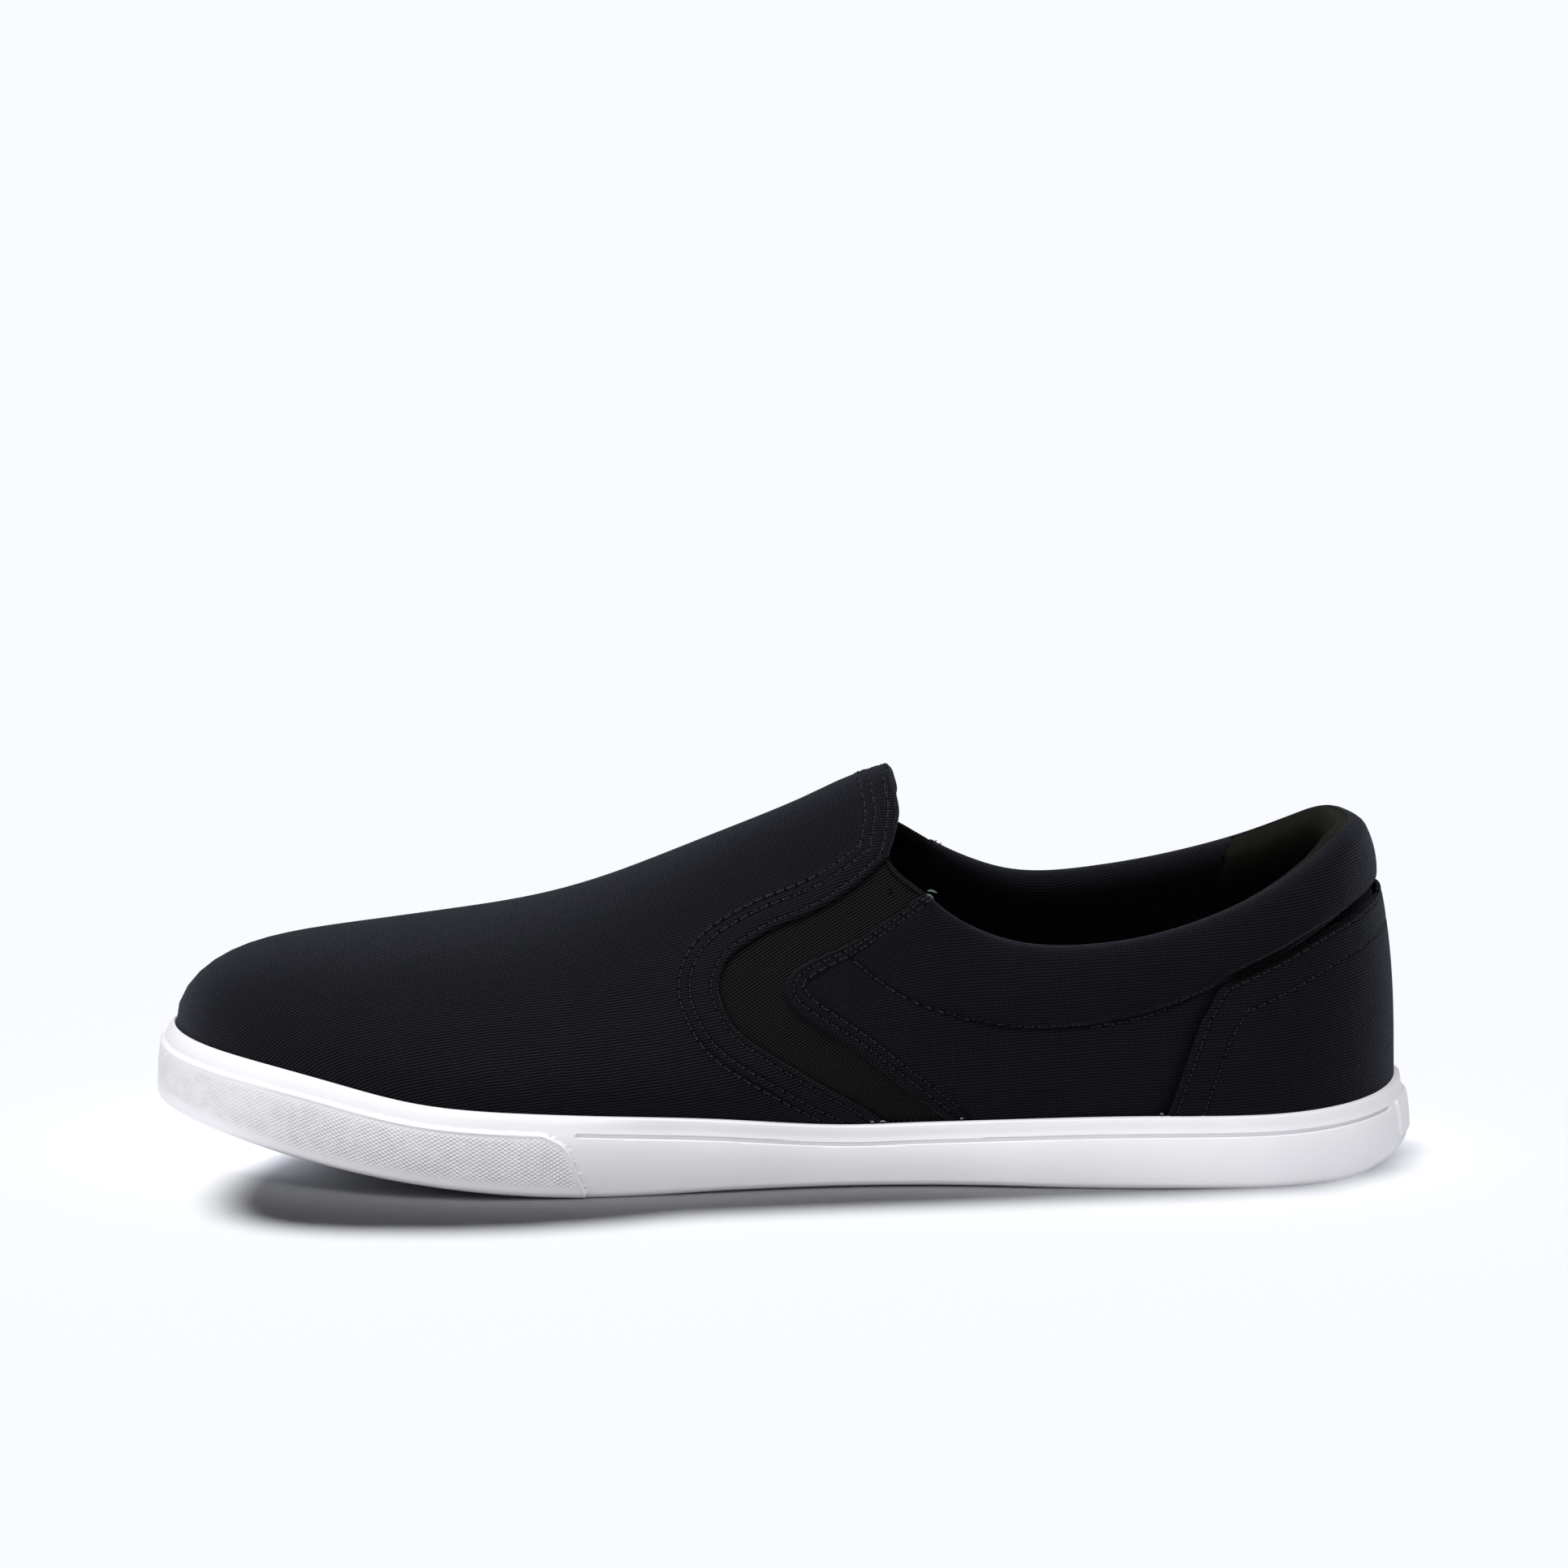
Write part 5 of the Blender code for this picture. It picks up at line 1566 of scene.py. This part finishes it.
vamp_tree = surface_tree(vamp)
quarter_tree = surface_tree(quarters)
counter_tree = surface_tree(overlay)
vamp_paths, quarter_paths, counter_paths, seam_paths = [], [], [], []
for s in (1.0, -1.0):
    throat = top_point(np.linspace(1, 0.57, 200), np.full(200, s))
    edge = even(np.concatenate([throat, place(smooth_line(VAMP_EDGE, 500), s)]), PATH_STEP)
    vamp_paths += row_paths(edge, vamp_rows, vamp_tree, (1.0, 0.0, 0.15))
    edge = even(place(smooth_line(QUARTER_EDGE, 500), s), PATH_STEP)
    quarter_paths += row_paths(edge, quarter_rows, quarter_tree, (-1.0, 0.0, 0.0))
    line = smooth_line(COUNTER_EDGE, 500)
    edge = even(over_heel(place(line, s), place(line, -s))[HEEL_ARC // 2:], PATH_STEP)
    counter_paths += row_paths(edge, counter_rows, counter_tree, (-0.7, 0.0, -1.0))
    seam_paths.append(even(place(smooth_line(SEAM_LINE, 500), s), PATH_STEP) + SHIFT)
seams = [
    # seam, paths, surface, pitch, stitch length, stitch radius, hole radius
    ("vamp", vamp_paths, vamp_tree, STITCH_PITCH, STITCH_LENGTH, STITCH_RADIUS, HOLE_RADIUS),
    ("quarter", quarter_paths, quarter_tree, STITCH_PITCH, STITCH_LENGTH, STITCH_RADIUS, HOLE_RADIUS),
    ("counter", counter_paths, counter_tree, STITCH_PITCH, STITCH_LENGTH, 0.00019, 0.00036),
    ("collar", seam_paths, quarter_tree, SEAM_PITCH, 0.0026, 0.00018, 0.00040),
]
for seam, paths, tree, pitch, length, radius, _ in seams:
    stitch_mesh("stitches_" + seam, paths, tree, pitch, length, radius)
for seam, paths, tree, pitch, _, _, radius in seams:
    hole_mesh("holes_" + seam, paths, tree, pitch, radius)


def thread_piece(name, lines, radius, colour):
    """Short loose ends of thread: each a thin curved tube through its three points."""
    points, faces = [], []
    t = np.linspace(0, 1, 9)
    fat = radius * (1 - 0.5 * abs(2 * t - 1) ** 3)[:, None]
    for line in lines:
        table = [(k / 2, *line[k]) for k in range(3)]
        spine = np.stack([curve(table, k)(t) for k in (1, 2, 3)], -1)
        way = unit(np.gradient(spine, axis=0))
        side = unit(np.cross(way, [0.2, 0.3, 1.0]))
        add_tube(points, faces, spine, side * fat, np.cross(way, side) * fat)
    new_piece(name, points, faces, thread_material(name, colour))


def thread_on(tree, spot, steps):
    """Points of a loose end that starts at the surface point nearest to a spot and follows the surface."""
    line = []
    for k, step in enumerate([(0, 0, 0)] + steps):
        near, normal, _, _ = tree.find_nearest(Vector(np.array(spot) + SHIFT + np.array(step)))
        line.append(np.array(near) + np.array(normal) * THREAD_RISE * (1 + (k % 2)))
    return line


corner = place(np.array(QUARTER_EDGE[:2]), 1.0)[0] + SHIFT
thread_piece("thread_ends_bright", [
    corner + [(-0.0002, 0.0012, 0.0002), (-0.0012, 0.0018, 0.0004), (-0.0024, 0.0014, -0.0002)],
    corner + [(0.0000, 0.0012, -0.0006), (-0.0009, 0.0018, -0.0008), (-0.0016, 0.0013, -0.0016)],
], 0.00021, (0.150, 0.190, 0.205))
ends = []
for x, size in ((0.0563, 0.0008), (0.1215, 0.0013), (0.1240, 0.0007), (0.1030, 0.0007)):
    lap = float(turn_of(x / LAST))
    z = float(foot_z(x / LAST)) + 0.0004
    spot = lap_point(np.array([lap]), np.array([z]), np.array([0.0009]))[0] + SHIFT
    ends.append([spot + [-size / 2, 0, 0], spot + [0, 0.0001, 0.0002], spot + [size / 2, 0, 0]])
thread_piece("thread_ends_sole", ends, 0.00015, (0.30, 0.31, 0.33))
far_tree = surface_tree(gore_in)
thread_piece("thread_ends_far", [
    thread_on(far_tree, (0.1146, -0.030, 0.0715), [(0.0010, 0, -0.0010), (0.0014, 0, -0.0030)]),
    thread_on(far_tree, (0.1132, -0.030, 0.0700), [(-0.0010, 0, -0.0006), (-0.0012, 0, -0.0022)]),
], 0.00026, (0.055, 0.062, 0.080))


# Camera
LOOK_AT = np.array([0.1446, 0.0, 0.0]) + SHIFT
CAMERA_RISE = np.radians(14.0)
AWAY = 2.0
FRAME_PIXELS = 1932
PIXELS_PER_METRE = 5180
PIXELS_BELOW = 446
TILT = np.arctan(PIXELS_BELOW / (PIXELS_PER_METRE * AWAY))
back = np.array([0, np.cos(CAMERA_RISE), np.sin(CAMERA_RISE)])
eye = LOOK_AT + back * AWAY
camera = bpy.data.cameras.new("camera")
camera.sensor_width = 36
camera.lens = camera.sensor_width * AWAY / (FRAME_PIXELS / PIXELS_PER_METRE)
camera.clip_end = 60
holder = bpy.data.objects.new("camera", camera)
bpy.context.scene.collection.objects.link(holder)
aim = CAMERA_RISE - TILT
look = np.array([0, -np.cos(aim), -np.sin(aim)])
holder.location = eye
holder.rotation_euler = Vector(look).to_track_quat("-Z", "Y").to_euler()
bpy.context.scene.camera = holder

# Floor and light
floor_mesh = bpy.data.meshes.new("floor")
floor_mesh.from_pydata([(-15, -15, 0), (15, -15, 0), (15, 15, 0), (-15, 15, 0)], [], [(0, 1, 2, 3)])
floor = bpy.data.objects.new("floor", floor_mesh)
bpy.context.scene.collection.objects.link(floor)
floor_mesh.materials.append(floor_look)

# A shading card held over the floor gives the soft shadow that leans out in front of the toe
CARD_HEIGHT = 0.026
FLOOR_SUN = (0.06, 0.30, -1.0)
SHADOW = [
    (-0.004, 0.000), (0.002, 0.025), (0.020, 0.042), (0.050, 0.049), (0.080, 0.053), (0.105, 0.057),
    (0.1289, 0.0605), (0.1477, 0.0635), (0.1666, 0.067), (0.1854, 0.0745), (0.2043, 0.080), (0.2232, 0.082),
    (0.245, 0.0815), (0.260, 0.078), (0.271, 0.069), (0.275, 0.054), (0.274, 0.034), (0.268, 0.015),
    (0.255, -0.010), (0.235, -0.028), (0.200, -0.036), (0.150, -0.034), (0.100, -0.026), (0.050, -0.028),
    (0.010, -0.020),
]
card_mesh = bpy.data.meshes.new("shading_card")
card_mesh.from_pydata([
    (x + SHIFT[0] - FLOOR_SUN[0] * CARD_HEIGHT, y + SHIFT[1] - FLOOR_SUN[1] * CARD_HEIGHT, CARD_HEIGHT)
    for x, y in SHADOW
], [], [tuple(range(len(SHADOW)))])
card = bpy.data.objects.new("shading_card", card_mesh)
bpy.context.scene.collection.objects.link(card)
card_mesh.materials.append(floor_look)
card.visible_camera = False
card.visible_diffuse = False
card.visible_glossy = False
card.visible_transmission = False

world = bpy.data.worlds.new("studio")
world.use_nodes = True
backdrop = world.node_tree.nodes["Background"]
backdrop.inputs["Color"].default_value = (1.0, 1.0, 1.0, 1.0)
backdrop.inputs["Strength"].default_value = 0.03
bpy.context.scene.world = world


def linked(name, piece, state):
    """A collection that a light reads to include or leave out one object."""
    group = bpy.data.collections.new(name)
    group.objects.link(piece)
    group.collection_objects[0].light_linking.link_state = state
    return group


def sun(name, direction, strength, angle, lit, blocked):
    light = bpy.data.lights.new(name, "SUN")
    light.energy = strength
    light.angle = np.radians(angle)
    lamp = bpy.data.objects.new(name, light)
    bpy.context.scene.collection.objects.link(lamp)
    lamp.rotation_euler = Vector(direction).to_track_quat("-Z", "Y").to_euler()
    lamp.light_linking.receiver_collection = lit
    lamp.light_linking.blocker_collection = blocked


all_but_floor = linked("all_but_floor", floor, "EXCLUDE")
all_but_card = linked("all_but_card", card, "EXCLUDE")
floor_alone = linked("floor_alone", floor, "INCLUDE")
card_alone = linked("card_alone", card, "INCLUDE")
sun("floor_light", FLOOR_SUN, 3.36, 34, floor_alone, card_alone)
sun("top", (0.02, -0.05, -1.0), 2.6, 40, all_but_floor, all_but_card)
sun("front", (-0.10, -1.0, -0.42), 1.04, 50, all_but_floor, all_but_card)
sun("heel_side", (0.80, -0.20, -0.60), 0.36, 60, all_but_floor, all_but_card)
sun("toe_side", (-0.80, -0.30, -0.55), 1.26, 60, all_but_floor, all_but_card)
bpy.context.scene.view_settings.view_transform = "Standard"
bpy.context.scene.view_settings.look = "None"
